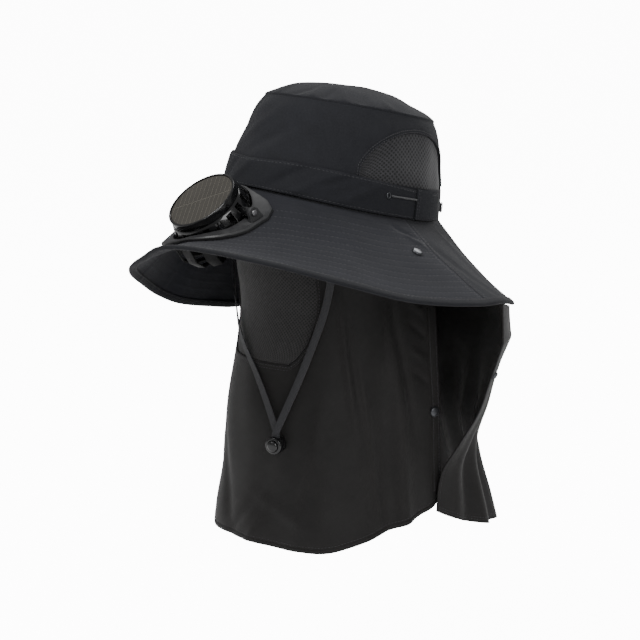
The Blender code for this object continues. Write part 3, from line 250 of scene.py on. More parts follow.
def make_cords():
    for side in (1, -1):
        start = EYELET_AZIMUTH + turn_for(EYELET_RADIUS * 0.72 + EYELET_WIRE + GAP, EYELET_AZIMUTH)
        end = KEEPER_AZIMUTH - turn_for(2 * GAP, KEEPER_AZIMUTH)
        lift = (GAP + BAND_THICKNESS) * 0.94 + CORD_RADIUS + 3 * GAP
        points = [crown_point(side * azimuth, CORD_HEIGHT, lift) for azimuth in spread(start, end, 15)]
        cord = lay_cord("draw_cord_%s" % name_of(side), points, CORD_RADIUS)
        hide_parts("side_cord_%s" % name_of(side))
    start = RING_AZIMUTH + turn_for(RING_RADIUS + RING_WIRE + GAP, RING_AZIMUTH)
    lift = 4 * GAP + REAR_CORD_RADIUS
    points = [crown_point(azimuth, RING_HEIGHT, lift) for azimuth in spread(start, 360 - start, 40)]
    cord = lay_cord("rear_draw_cord", points, REAR_CORD_RADIUS)
    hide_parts("rear_cord")


make_cords()

# Crown
# Soft black cotton: a side wall sewn to the band below and, above, to a round tip whose edge is
# gathered into its seam. Two arched openings in the wall carry the net vents.
CROWN_CLOTH = 0.0016
BAND_HEIGHT = 0.031
TOP_RISE = 0.021
VENT_AZIMUTH = 104.5
VENT_HALF_ANGLE = 39.5
VENT_HEIGHT = 0.044
VENT_START = 0.845
WEAVE_PITCH = 0.0007
SEAM_GAP = 0.00006

TopSection = namedtuple("TopSection", "share size rise")
TOP_SECTIONS = (
    TopSection(0.00, 0.790, 0.00),
    TopSection(0.06, 0.786, 0.10),
    TopSection(0.26, 0.670, 0.40),
    TopSection(0.50, 0.500, 0.71),
    TopSection(0.76, 0.270, 0.93),
    TopSection(1.00, 0.000, 1.00),
)
# A fold lies at an azimuth and a share of the piece's height, turned from upright by its lean in
# degrees. Its length, width and depth are in metres, and a negative depth is a dent.
Fold = namedtuple("Fold", "azimuth share lean length width depth")
CROWN_FOLDS = (
    Fold(-8, 0.62, 55, 0.034, 0.0050, 0.0016),
    Fold(6, 0.50, 62, 0.030, 0.0045, -0.0016),
    Fold(22, 0.66, -48, 0.026, 0.0048, 0.0015),
    Fold(34, 0.56, -35, 0.030, 0.0050, -0.0017),
    Fold(46, 0.72, -28, 0.026, 0.0045, 0.0014),
    Fold(58, 0.90, -20, 0.020, 0.0040, -0.0013),
    Fold(-28, 0.80, 40, 0.026, 0.0045, -0.0015),
    Fold(-52, 0.60, 50, 0.030, 0.0060, 0.0015),
    Fold(162, 0.55, 25, 0.034, 0.0060, 0.0018),
    Fold(176, 0.70, -10, 0.034, 0.0060, -0.0016),
    Fold(-158, 0.60, -30, 0.032, 0.0060, 0.0017),
)
TOP_FOLDS = (
    Fold(15, 0.16, 8, 0.016, 0.0035, -0.0014),
    Fold(26, 0.20, -12, 0.020, 0.0032, 0.0013),
    Fold(37, 0.18, 6, 0.020, 0.0032, -0.0015),
    Fold(49, 0.16, -5, 0.016, 0.0030, 0.0012),
    Fold(62, 0.17, 10, 0.016, 0.0032, -0.0012),
    Fold(-5, 0.18, -8, 0.018, 0.0034, 0.0013),
    Fold(-24, 0.17, 10, 0.016, 0.0034, -0.0012),
    Fold(80, 0.15, -6, 0.014, 0.0032, 0.0010),
    Fold(-60, 0.17, 5, 0.016, 0.0036, 0.0012),
    Fold(120, 0.30, 60, 0.040, 0.0080, -0.0014),
    Fold(-140, 0.35, 50, 0.044, 0.0090, 0.0015),
)


def fold_rise(folds, azimuth, share, girth, tall):
    """How far the folds lift the cloth at a place. girth is metres to a degree, tall the height."""
    rise = 0.0
    for fold in folds:
        x = ((azimuth - fold.azimuth + 180) % 360 - 180) * girth
        y = (share - fold.share) * tall
        lean = radians(fold.lean)
        across = x * cos(lean) - y * sin(lean)
        along = x * sin(lean) + y * cos(lean)
        if abs(across) < 3 * fold.width and abs(along) < 1.6 * fold.length:
            rise += fold.depth * exp(-(across / fold.width) ** 2 - (along / fold.length) ** 4)
    return rise


def ripple(place, size, depth):
    """A soft irregular unevenness of the cloth."""
    return noise.noise(place / size) * depth


def woven_group():
    """Plain weave with a fine thread bump, slubs and soft mottling, read from a map in metres."""
    group = bpy.data.node_groups.new("woven_cloth", "ShaderNodeTree")
    face = group.interface
    for label, kind in (("Vector", "NodeSocketVector"), ("Dark", "NodeSocketColor"),
                        ("Light", "NodeSocketColor"), ("Pitch", "NodeSocketFloat"),
                        ("Depth", "NodeSocketFloat")):
        face.new_socket(name=label, in_out="INPUT", socket_type=kind)
    for label, kind in (("Color", "NodeSocketColor"), ("Roughness", "NodeSocketFloat"),
                        ("Normal", "NodeSocketVector")):
        face.new_socket(name=label, in_out="OUTPUT", socket_type=kind)
    start = group.nodes.new("NodeGroupInput")
    end = group.nodes.new("NodeGroupOutput")
    grid = add_node(group, "ShaderNodeVectorMath", {0: start.outputs["Vector"]}, operation="DIVIDE")
    pitch = add_node(group, "ShaderNodeCombineXYZ", {"X": start.outputs["Pitch"],
                                                     "Y": start.outputs["Pitch"]})
    group.links.new(pitch.outputs[0], grid.inputs[1])
    warp = add_node(group, "ShaderNodeTexWave", {"Vector": grid.outputs[0], "Scale": 0.31831,
                                                 "Distortion": 0.6, "Detail": 1.0})
    weft = add_node(group, "ShaderNodeTexWave", {"Vector": grid.outputs[0], "Scale": 0.31831,
                                                 "Distortion": 0.6, "Detail": 1.0},
                    bands_direction="Y")
    thread = add_node(group, "ShaderNodeMath", {0: warp.outputs["Fac"], 1: weft.outputs["Fac"]},
                      operation="MULTIPLY")
    mottle = add_node(group, "ShaderNodeTexNoise", {"Vector": start.outputs["Vector"], "Scale": 42.0,
                                                    "Detail": 5.0, "Roughness": 0.62})
    slub = add_node(group, "ShaderNodeTexNoise", {"Vector": grid.outputs[0], "Scale": 0.45,
                                                  "Detail": 2.0})
    light = add_node(group, "ShaderNodeMath", {0: mottle.outputs["Fac"], 1: 0.55},
                     operation="MULTIPLY")
    lit = add_node(group, "ShaderNodeMath", {0: slub.outputs["Fac"], 1: 0.30, 2: light.outputs[0]},
                   operation="MULTIPLY_ADD")
    spot = add_node(group, "ShaderNodeMath", {0: thread.outputs[0], 1: 0.22, 2: lit.outputs[0]},
                    operation="MULTIPLY_ADD")
    tint = colour_mix(group, spot.outputs[0], start.outputs["Dark"], start.outputs["Light"])
    group.links.new(tint, end.inputs["Color"])
    rough = add_node(group, "ShaderNodeMapRange", {"Value": mottle.outputs["Fac"], "To Min": 0.80,
                                                   "To Max": 0.94})
    group.links.new(rough.outputs[0], end.inputs["Roughness"])
    height = add_node(group, "ShaderNodeMath", {0: thread.outputs[0], 1: slub.outputs["Fac"]},
                      operation="ADD")
    bump = add_node(group, "ShaderNodeBump", {"Height": height.outputs[0],
                                              "Distance": start.outputs["Depth"], "Strength": 0.7})
    group.links.new(bump.outputs[0], end.inputs["Normal"])
    return group


WOVEN = woven_group()


def cloth_look(name, dark, light, pitch=WEAVE_PITCH, depth=0.00012, sheen=0.07, smooth=1.0):
    made, tree, shader = new_material(name, light, 0.88)
    weave = add_node(tree, "ShaderNodeGroup", node_tree=WOVEN)
    place = add_node(tree, "ShaderNodeUVMap", uv_map="cloth")
    tree.links.new(place.outputs[0], weave.inputs["Vector"])
    weave.inputs["Dark"].default_value = (*dark, 1.0)
    weave.inputs["Light"].default_value = (*light, 1.0)
    weave.inputs["Pitch"].default_value = pitch
    weave.inputs["Depth"].default_value = depth
    for label, socket in (("Color", "Base Color"), ("Normal", "Normal")):
        tree.links.new(weave.outputs[label], shader.inputs[socket])
    rough = add_node(tree, "ShaderNodeMath", {0: weave.outputs["Roughness"], 1: smooth},
                     operation="MULTIPLY")
    tree.links.new(rough.outputs[0], shader.inputs["Roughness"])
    shader.inputs["Sheen Weight"].default_value = sheen
    shader.inputs["Sheen Roughness"].default_value = 0.45
    shader.inputs["Specular IOR Level"].default_value = 0.16
    return made


HAT_CLOTH = cloth_look("hat_cotton", (0.0085, 0.0088, 0.0108), (0.029, 0.030, 0.035))


def link_mesh(name, points, faces, look):
    mesh = bpy.data.meshes.new(name)
    mesh.from_pydata([tuple(p) for p in points], [], faces)
    mesh.update()
    made = bpy.data.objects.new(name, mesh)
    bpy.context.scene.collection.objects.link(made)
    mesh.materials.append(look)
    return made


def map_cloth(piece, wide, tall, across, down):
    """A map in metres on a grid sheet: arc length along its rows and down its columns."""
    layer = piece.data.uv_layers.new(name="cloth")
    for loop in piece.data.loops:
        row, column = divmod(loop.vertex_index, wide)
        layer.data[loop.index].uv = (across[column % wide], down[min(row, tall - 1)])
    for face in piece.data.polygons:
        corners = [layer.data[i] for i in face.loop_indices]
        most = max(corner.uv[0] for corner in corners)
        if most - min(corner.uv[0] for corner in corners) > across[-1] * 0.5:
            for corner in corners:
                if corner.uv[0] < across[-1] * 0.5:
                    corner.uv[0] = most + across[1]


def apply_all(piece):
    bpy.context.view_layer.objects.active = piece
    piece.select_set(True)
    for made in list(piece.modifiers):
        bpy.ops.object.modifier_apply(modifier=made.name)
    piece.select_set(False)


def sew_sheet(name, rows, look, wall, closed=False, flip=False, fine=1, offset=-1, cutters=(),
              pole=None):
    """A cloth sheet through rows of points, rounded, cut where asked, and given its thickness."""
    wide = len(rows[0])
    tall = len(rows)
    faces = []
    for r in range(tall - 1):
        for c in range(wide if closed else wide - 1):
            d = (c + 1) % wide
            face = (r * wide + c, r * wide + d, (r + 1) * wide + d, (r + 1) * wide + c)
            faces.append(tuple(reversed(face)) if flip else face)
    points = [p for row in rows for p in row]
    if pole is not None:
        last = (tall - 1) * wide
        faces += [(last + c, last + (c + 1) % wide, wide * tall) for c in range(wide)]
        points.append(pole)
    piece = link_mesh(name, points, faces, look)
    middle = rows[tall // 2]
    across = [0.0]
    for a, b in zip(middle, middle[1:]):
        across.append(across[-1] + (b - a).length)
    down = [0.0]
    for a, b in zip(rows, rows[1:]):
        down.append(down[-1] + (b[wide // 2] - a[wide // 2]).length)
    map_cloth(piece, wide, tall, across, down)
    if fine:
        round_off = piece.modifiers.new("round", "SUBSURF")
        round_off.levels = fine
        round_off.render_levels = fine
        round_off.boundary_smooth = "PRESERVE_CORNERS"
        apply_all(piece)
    area = sum(face.area for face in piece.data.polygons)
    shell = piece.modifiers.new("wall", "SOLIDIFY")
    shell.thickness = wall
    shell.offset = offset
    shell.use_even_offset = True
    for cutter in cutters:
        cut = piece.modifiers.new("cut", "BOOLEAN")
        cut.operation = "DIFFERENCE"
        cut.object = cutter
    apply_all(piece)
    for cutter in cutters:
        bpy.data.objects.remove(cutter)
    piece.data.shade_smooth()
    piece.data.set_sharp_from_angle(angle=radians(60))
    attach(piece, "root")
    return piece, area, across[-1], down[-1]


def declare_cloth(piece, area):
    """The width of a sheet's flat cut from its area, as wide as it is round; it is worked out and not kept.
    """
    wide = sqrt(area) * 1.2


def curved_cutter(name, place, cells_across, cells_up, depth):
    across = cells_across + 1
    up = cells_up + 1
    points = [place(u, v, out) for out in (-depth, depth) for v in spread(0, 1, up)
              for u in spread(-1, 1, across)]
    face = across * up
    faces = []
    for j in range(up - 1):
        for i in range(across - 1):
            a = j * across + i
            b = a + across
            faces.append((a, a + 1, b + 1, b))
            faces.append((face + a, face + b, face + b + 1, face + a + 1))
    rim = list(range(across)) + [across - 1 + across * j for j in range(1, up)]
    rim += [(up - 1) * across + i for i in range(across - 2, -1, -1)]
    rim += [across * j for j in range(up - 2, 0, -1)]
    for k, a in enumerate(rim):
        b = rim[(k + 1) % len(rim)]
        faces.append((a, b, face + b, face + a))
    cutter = link_mesh(name, points, faces, HAT_CLOTH)
    work = bmesh.new()
    work.from_mesh(cutter.data)
    bmesh.ops.recalc_face_normals(work, faces=work.faces)
    work.to_mesh(cutter.data)
    work.free()
    cutter.hide_render = True
    return cutter


def vent_place(u, v, inset):
    girth = radians(1) * (HEAD_HALF_WIDTH + HEAD_HALF_LENGTH) / 2
    half = VENT_HALF_ANGLE - inset / girth
    arch = sqrt(max(0.0, 1 - (0.97 * u) ** 2))
    return VENT_AZIMUTH + half * u, BAND_HEIGHT * VENT_START + inset + (VENT_HEIGHT - 2 * inset) * arch * v


def crown_cloth(azimuth, height, out=0.0):
    """A point of the crown wall with its wrinkles, which fade at its two seams."""
    share = height / CROWN_HEIGHT
    fade = smooth_step(share / 0.15) * smooth_step((1.0 - share) / 0.08)
    plain = crown_point(azimuth, height)
    girth = radians(1) * 0.095
    dent = fold_rise(CROWN_FOLDS, azimuth, share, girth, CROWN_HEIGHT) + ripple(plain, 0.022, 0.0012)
    return crown_point(azimuth, height, out + dent * fade)


def crown_top_point(azimuth, share, out=0.0):
    size = table_value(TOP_SECTIONS, "size", share)
    rise = table_value(TOP_SECTIONS, "rise", share)
    place = opening_point(azimuth, size)
    dent = fold_rise(TOP_FOLDS, azimuth, share, radians(1) * 0.075, 0.085)
    dent += ripple(place, 0.030, 0.0016) * smooth_step(share / 0.3)
    dent *= smooth_step((share - 0.03) / 0.08)
    place.y += CROWN_SLANT
    place.z = CROWN_HEIGHT + SEAM_GAP + TOP_RISE * rise + (dent + out) * 0.9
    place += Vector((place.x, place.y, 0)).normalized() * (dent + out) * 0.4 * (1 - share)
    return PITCHED @ place


def make_crown():
    cutters = []
    for side in (1, -1):
        def place(u, v, out):
            azimuth, height = vent_place(u, v, 0)
            return crown_point(side * azimuth, height, out)
        cutters.append(curved_cutter("vent_cutter", place, 16, 2, 4 * CROWN_CLOTH))
    azimuths = [360 * c / 150 for c in range(150)]
    rows = [[crown_cloth(a, CROWN_HEIGHT * share) for a in azimuths] for share in spread(0, 1, 25)]
    wall, area, wide, tall = sew_sheet("crown_wall_cloth", rows, HAT_CLOTH, CROWN_CLOTH, closed=True,
                                       cutters=cutters)
    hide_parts("crown_wall")
    declare_cloth(wall, area)
    shares = [0.0, 0.02, 0.04, 0.06, 0.09] + spread(0.12, 0.985, 22)
    rows = [[crown_top_point(a, share) for a in azimuths] for share in shares]
    top, area, wide, tall = sew_sheet("crown_top_cloth", rows, HAT_CLOTH, CROWN_CLOTH, closed=True,
                                      pole=crown_top_point(0, 1.0))
    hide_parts("crown_top")
    declare_cloth(top, area)


make_crown()

# Net vents
# Fine black knitted net, sewn behind the crown's arched openings under a narrow tape.
NET_THICKNESS = 0.0010
NET_HOLE_PITCH = 0.0034
NET_HOLE_RADIUS = 0.34
NET_COLOUR = (0.026, 0.026, 0.029)
TAPE_WIDTH = 0.0034
TAPE_THICKNESS = 0.0007
NET_OVERLAP = 0.0018


def net_look(name, colour, pitch, hole):
    """Knitted net: staggered round holes filled with near-black, nearly opaque painted shade, and rounded
    threads.
    """
    made, tree, shader = new_material(name, colour, 0.85)
    place = add_node(tree, "ShaderNodeUVMap", uv_map="cloth")
    turned = add_node(tree, "ShaderNodeMapping", {"Vector": place.outputs[0],
                                                  "Rotation": (0, 0, radians(45)),
                                                  "Scale": (1 / pitch, 1 / pitch, 1)})
    cells = add_node(tree, "ShaderNodeTexVoronoi", {"Vector": turned.outputs[0], "Scale": 1.0,
                                                    "Randomness": 0.08}, voronoi_dimensions="2D")
    solid = add_node(tree, "ShaderNodeMapRange", {"Value": cells.outputs["Distance"],
                                                  "From Min": hole - 0.04, "From Max": hole + 0.04})
    # The holes stay nearly opaque: painted shade of the dark inside, seen through the net.
    hole_shade_alpha = add_node(tree, "ShaderNodeMapRange", {"Value": solid.outputs[0], "To Min": 0.985})
    tree.links.new(hole_shade_alpha.outputs[0], shader.inputs["Alpha"])
    mottle = add_node(tree, "ShaderNodeTexNoise", {"Vector": place.outputs[0], "Scale": 300.0})
    tone = colour_mix(tree, mottle.outputs["Fac"], tuple(c * 0.6 for c in colour),
                      tuple(c * 1.7 for c in colour))
    # Near-black painted shade fills the holes, and the threads take the mottled tone.
    tree.links.new(colour_mix(tree, solid.outputs[0], (0.0025, 0.0025, 0.0025), tone),
                   shader.inputs["Base Color"])
    bump = add_node(tree, "ShaderNodeBump", {"Height": cells.outputs["Distance"], "Distance": 0.0005,
                                             "Strength": 0.8})
    tree.links.new(bump.outputs[0], shader.inputs["Normal"])
    shader.inputs["Sheen Weight"].default_value = 0.2
    return made


VENT_NET = net_look("vent_net", NET_COLOUR, NET_HOLE_PITCH, NET_HOLE_RADIUS)
TAPE_CLOTH = cloth_look("tape_cotton", (0.008, 0.008, 0.0098), (0.026, 0.027, 0.031), 0.0006)


def ribbon(name, line, wide, thick, look, closed=False, lift=0.0, crown=0.35):
    """A flat band along places, each with the way out of the surface and the way across it. Its
    upper face is a little rounded, and its map runs along it in metres."""
    count = len(line)
    shape = ((-1.0, 0.0), (-0.96, 0.75), (-0.55, 1.0), (0.0, 1.0 + crown * 0.2), (0.55, 1.0),
             (0.96, 0.75), (1.0, 0.0), (0.0, 0.0))
    sides = len(shape)
    points = []
    for place, out, across in line:
        points += [place + across * (wide / 2 * s) + out * (lift + thick * t) for s, t in shape]
    faces = []
    for r in range(count if closed else count - 1):
        s = (r + 1) % count
        for c in range(sides):
            d = (c + 1) % sides
            faces.append((r * sides + c, r * sides + d, s * sides + d, s * sides + c))
    if not closed:
        faces.append(tuple(range(sides)))
        faces.append(tuple((count - 1) * sides + c for c in range(sides)))
    piece = link_mesh(name, points, faces, look)
    work = bmesh.new()
    work.from_mesh(piece.data)
    bmesh.ops.recalc_face_normals(work, faces=work.faces)
    work.to_mesh(piece.data)
    work.free()
    along = [0.0]
    for a, b in zip(line, line[1:]):
        along.append(along[-1] + (b[0] - a[0]).length)
    layer = piece.data.uv_layers.new(name="cloth")
    for face in piece.data.polygons:
        rows = [piece.data.loops[i].vertex_index // sides for i in face.loop_indices]
        jump = closed and max(rows) - min(rows) > 1
        for i in face.loop_indices:
            row, side = divmod(piece.data.loops[i].vertex_index, sides)
            far = along[-1] + along[1] if jump and row == 0 else along[row]
            layer.data[i].uv = (far, shape[side][0] * wide / 2)
    piece.data.shade_smooth()
    piece.data.set_sharp_from_angle(angle=radians(50))
    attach(piece, "root")
    return piece


def line_on(function, places, step=0.5):
    """Places on a surface with their ways out and across, from pairs of its two parameters."""
    line = []
    count = len(places)
    for i, (u, v) in enumerate(places):
        point = function(u, v)
        du = function(u + step, v) - function(u - step, v)
        dv = function(u, v + 0.001) - function(u, v - 0.001)
        out = du.cross(dv).normalized()
        a = places[max(0, i - 1)]
        b = places[min(count - 1, i + 1)]
        along = function(*b) - function(*a)
        across = out.cross(along).normalized()
        line.append((point, out, across))
    return line


def stitch_mesh(name, lines, look, length=0.0026, pitch=0.0038, wide=0.00050, high=0.00026):
    """Thread stitches along lines of places on a surface, each a short rounded bead of thread."""
    points = []
    faces = []
    for line in lines:
        total = 0.0
        due = 0.0
        for (a, out, across), (b, out_b, across_b) in zip(line, line[1:]):
            run = (b - a).length
            if run < 1e-7:
                continue
            way = (b - a) / run
            while due <= total + run:
                middle = a + way * (due - total)
                base = len(points)
                for share, half, tall in ((-0.5, 0.35, 0.0), (-0.30, 1.0, 0.8), (0.30, 1.0, 0.8),
                                          (0.5, 0.35, 0.0)):
                    spot = middle + way * (length * share)
                    points += [spot - across * (wide * half / 2) - out * 0.0001,
                               spot + out * (high * tall),
                               spot + across * (wide * half / 2) - out * 0.0001]
                for k in range(3):
                    p = base + 3 * k
                    faces += [(p, p + 3, p + 4, p + 1), (p + 1, p + 4, p + 5, p + 2),
                              (p + 2, p + 5, p + 3, p)]
                faces += [(base, base + 1, base + 2), (base + 11, base + 10, base + 9)]
                due += pitch
            total += run
    piece = link_mesh(name, points, faces, look)
    work = bmesh.new()
    work.from_mesh(piece.data)
    bmesh.ops.recalc_face_normals(work, faces=work.faces)
    work.to_mesh(piece.data)
    work.free()
    piece.data.shade_smooth()
    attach(piece, "root")
    return piece


def thread_look(name, colour):
    """Twisted sewing thread, with a fine slanted twist and a slight gloss."""
    made, tree, shader = new_material(name, colour, 0.55)
    place = add_node(tree, "ShaderNodeTexCoord").outputs["Object"]
    twist = add_node(tree, "ShaderNodeTexWave", {"Vector": place, "Scale": 900.0},
                     bands_direction="DIAGONAL")
    tone = colour_mix(tree, twist.outputs["Fac"], tuple(c * 0.6 for c in colour),
                      tuple(c * 1.35 for c in colour))
    tree.links.new(tone, shader.inputs["Base Color"])
    shader.inputs["Sheen Weight"].default_value = 0.15
    return made


BLACK_THREAD = thread_look("black_thread", (0.034, 0.035, 0.041))


def make_vents():
    for side in (1, -1):
        def wall(azimuth, height):
            return crown_cloth(side * azimuth, height)

        def net_point(u, v):
            azimuth, height = vent_place(u, v, -NET_OVERLAP)
            return crown_cloth(side * azimuth, height, -CROWN_CLOTH - GAP - NET_THICKNESS / 4)
        rows = [[net_point(u, v) for u in spread(-1, 1, 41)] for v in spread(0, 1, 13)]
        net, area, wide, tall = sew_sheet("vent_net_%s" % name_of(side), rows, VENT_NET,
                                          NET_THICKNESS * 0.5, flip=side < 0, offset=0)
        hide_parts("mesh_vent_%s" % name_of(side))
        min(area, wide * tall)
        edge = [vent_place(-1, v, -TAPE_WIDTH / 2) for v in (0.35, 0.7)]
        edge += [vent_place(u, 1.0, -TAPE_WIDTH / 2) for u in spread(-1, 1, 61)]
        edge += [vent_place(1, v, -TAPE_WIDTH / 2) for v in (0.7, 0.35)]
        line = line_on(wall, edge)
        if side < 0:
            line = [(place, -out, across) for place, out, across in line]
        tape = ribbon("vent_tape_%s" % name_of(side), line, TAPE_WIDTH, TAPE_THICKNESS, TAPE_CLOTH)
        inner = [(place + out * TAPE_THICKNESS - across * (TAPE_WIDTH * 0.3 * side), out, across)
                 for place, out, across in line]
        outer = [(place + out * TAPE_THICKNESS + across * (TAPE_WIDTH * 0.3 * side), out, across)
                 for place, out, across in line]
        stitch_mesh("vent_stitches_%s" % name_of(side), [inner, outer], BLACK_THREAD, 0.0018, 0.0027)


make_vents()

# Hat band
# A wide band of doubled cotton round the front and sides, fuller at its lower edge, with a cloth
# keeper stitched over it on each side that takes the side draw cord.
BAND_LOW = 0.0008
BAND_END_AZIMUTH = 122
KEEPER_END_AZIMUTH = 113
KEEPER_THICKNESS = 0.0014
BandSection = namedtuple("BandSection", "azimuth height")
BAND_SECTIONS = (
    BandSection(-130, 0.98),
    BandSection(-70, 1.04),
    BandSection(-35, 0.95),
    BandSection(0, 0.82),
    BandSection(35, 0.90),
    BandSection(70, 0.88),
    BandSection(95, 0.80),
    BandSection(115, 0.75),
    BandSection(130, 0.75),
)
BAND_FOLDS = (
    Fold(-14, 0.55, 40, 0.022, 0.0045, -0.0012),
    Fold(-4, 0.45, 50, 0.024, 0.0050, 0.0012),
    Fold(30, 0.60, 58, 0.026, 0.0045, -0.0013),
    Fold(42, 0.40, 62, 0.030, 0.0045, 0.0012),
    Fold(52, 0.65, 66, 0.022, 0.0035, -0.0011),
    Fold(66, 0.45, 60, 0.022, 0.0040, 0.0009),
    Fold(-40, 0.50, -50, 0.026, 0.0050, -0.0012),
)
BAND_CLOTH = cloth_look("band_cotton", (0.008, 0.0083, 0.0102), (0.027, 0.028, 0.033))


def band_top(azimuth):
    return BAND_HEIGHT * table_value(BAND_SECTIONS, "height", azimuth)


def band_face(azimuth, share, lift=0.0):
    """The band's outer face, from its lower edge at 0 to its upper edge at 1."""
    tall = band_top(azimuth) - BAND_LOW
    swell = (0.86 + 0.14 * smooth_step(share / 0.10)) * (1 - 0.12 * share)
    swell *= 1 - 0.32 * smooth_step((share - 0.90) / 0.10)
    fade = smooth_step(share / 0.12) * smooth_step((1 - share) / 0.10)
    fade *= smooth_step((BAND_END_AZIMUTH - abs(azimuth)) / 12)
    dent = fold_rise(BAND_FOLDS, azimuth, share, radians(1) * 0.1, tall)
    dent = max(dent, -BAND_THICKNESS * 0.45) * fade
    return crown_point(azimuth, BAND_LOW + tall * share, GAP + BAND_THICKNESS * swell + dent + lift)


def band_back(azimuth, share):
    tall = band_top(azimuth) - BAND_LOW
    return crown_point(azimuth, BAND_LOW + tall * share, GAP)


def closed_band(name, azimuths, face, back, look, shares):
    """A closed body between an outer face and a back face, mapped in metres along the band."""
    rows = [[face(a, s) for s in shares] + [back(a, s) for s in (1.0, 0.5, 0.0)] for a in azimuths]
    sides = len(rows[0])
    points = [p for row in rows for p in row]
    faces = []
    for r in range(len(rows) - 1):
        for c in range(sides):
            d = (c + 1) % sides
            faces.append((r * sides + c, r * sides + d, (r + 1) * sides + d, (r + 1) * sides + c))
    faces.append(tuple(range(sides)))
    faces.append(tuple((len(rows) - 1) * sides + c for c in range(sides)))
    piece = link_mesh(name, points, faces, look)
    work = bmesh.new()
    work.from_mesh(piece.data)
    bmesh.ops.recalc_face_normals(work, faces=work.faces)
    work.to_mesh(piece.data)
    work.free()
    along = [0.0]
    for a, b in zip(rows, rows[1:]):
        along.append(along[-1] + (b[0] - a[0]).length)
    up = [0.0]
    for a, b in zip(rows[0], rows[0][1:]):
        up.append(up[-1] + (b - a).length)
    layer = piece.data.uv_layers.new(name="cloth")
    for loop in piece.data.loops:
        row, side = divmod(loop.vertex_index, sides)
        layer.data[loop.index].uv = (along[row], up[side])
    piece.data.shade_smooth()
    piece.data.set_sharp_from_angle(angle=radians(55))
    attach(piece, "root")
    return piece


def make_hat_band():
    ends = BAND_END_AZIMUTH
    band = closed_band("hat_band_cloth", spread(-ends, ends, 221), band_face, band_back, BAND_CLOTH,
                       spread(0, 1, 21))
    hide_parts("hat_band")
    rows = []
    for share in (0.055, 0.93):
        rows.append(line_on(band_face, [(a, share) for a in spread(2 - ends, ends - 2, 240)]))
    stitch_mesh("hat_band_stitches", rows, BLACK_THREAD)
    for side in (1, -1):
        inner = GAP + BAND_THICKNESS + GAP
        low = BAND_LOW - GAP

        def face(azimuth, share, lift=0.0):
            top = band_top(azimuth) + 4 * GAP
            round_off = 0.3 * (smooth_step(share / 0.08) + smooth_step((1 - share) / 0.08)) + 0.4
            return crown_point(side * azimuth, low + (top - low) * share,
                               inner + KEEPER_THICKNESS * round_off + lift)

        def back(azimuth, share):
            top = band_top(azimuth) + 4 * GAP
            return crown_point(side * azimuth, low + (top - low) * share, inner)
        azimuths = spread(KEEPER_AZIMUTH, KEEPER_END_AZIMUTH, 15)
        keeper = closed_band("keeper_cloth_%s" % name_of(side), azimuths, face, back, BAND_CLOTH,
                             spread(0, 1, 17))
        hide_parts("band_keeper_%s" % name_of(side))
        lines = []
        for azimuth in (KEEPER_AZIMUTH + 1.0, KEEPER_AZIMUTH + 2.2, KEEPER_END_AZIMUTH - 1.2):
            line = line_on(face, [(azimuth, s) for s in spread(0.04, 0.96, 16)])
            lines.append([(p, out * side, across) for p, out, across in line])
        stitch_mesh("keeper_stitches_%s" % name_of(side), lines, BLACK_THREAD, 0.0018, 0.0027)


make_hat_band()

# Brim
# A wide brim: stiff stitched cotton round the front and sides, with rows of stitching an even step
# apart, a thinner rear part sewn to it behind each ear, and a folded binding round its whole edge.
BRIM_WIDTH = 0.1195
BRIM_CLOTH = 0.0022
REAR_BRIM_CLOTH = 0.0016
BRIM_SEAM_AZIMUTH = 95
BINDING_WIDTH = 0.0052
BINDING_THICKNESS = 0.0040
BINDING_LIP = 0.0026
STITCH_ROW_PITCH = 0.0086
STITCH_GROOVE = 0.00009
BrimSection = namedtuple("BrimSection", "azimuth width root_droop edge_droop")
BRIM_SECTIONS = (
    BrimSection(-180, 0.80, 54, 44),
    BrimSection(-150, 0.86, 56, 46),
    BrimSection(-120, 0.95, 64, 54),
    BrimSection(-95, 1.00, 76, 66),
    BrimSection(-78, 1.00, 80, 68),
    BrimSection(-58, 1.00, 78, 66),
    BrimSection(-46, 0.98, 66, 66),
    BrimSection(-30, 0.94, 57, 59),
    BrimSection(-15, 0.95, 56, 40),
    BrimSection(0, 0.98, 58, 18),
    BrimSection(9, 1.00, 58, 3),
    BrimSection(20, 1.00, 54, 1),
    BrimSection(38, 1.00, 41, 12),
    BrimSection(56, 1.00, 35, 22),
    BrimSection(72, 1.00, 37, 24),
    BrimSection(92, 1.00, 34, 22),
    BrimSection(104, 0.95, 33, 22),
    BrimSection(130, 0.80, 42, 34),
    BrimSection(155, 0.78, 50, 42),
    BrimSection(180, 0.80, 54, 44),
)
BRIM_FOLDS = (
    Fold(101, 0.72, 12, 0.050, 0.0030, -0.0012),
    Fold(112, 0.55, -14, 0.050, 0.0060, 0.0012),
    Fold(87, 0.16, 60, 0.014, 0.0035, -0.0014),
    Fold(90, 0.26, 50, 0.012, 0.0035, 0.0012),
    Fold(-110, 0.55, 10, 0.050, 0.0060, -0.0012),
    Fold(140, 0.50, -12, 0.050, 0.0070, -0.0012),
    Fold(168, 0.55, 8, 0.050, 0.0080, 0.0014),
    Fold(-150, 0.55, 14, 0.050, 0.0070, 0.0012),
)


def brim_point(azimuth, share, lift=0.0):
    width = BRIM_WIDTH * table_value(BRIM_SECTIONS, "width", azimuth)
    root = radians(table_value(BRIM_SECTIONS, "root_droop", azimuth))
    edge = radians(table_value(BRIM_SECTIONS, "edge_droop", azimuth))
    turn = edge - root
    if abs(turn) < 0.01:
        turn = 0.01
    droop = root + turn * share
    out = width * (sin(droop) - sin(root)) / turn
    down = width * (cos(root) - cos(droop)) / turn
    place = opening_point(azimuth, 1.0, out + lift * sin(droop))
    place.z = -GAP - side_dip(azimuth) - down + lift * cos(droop)
    return PITCHED @ place


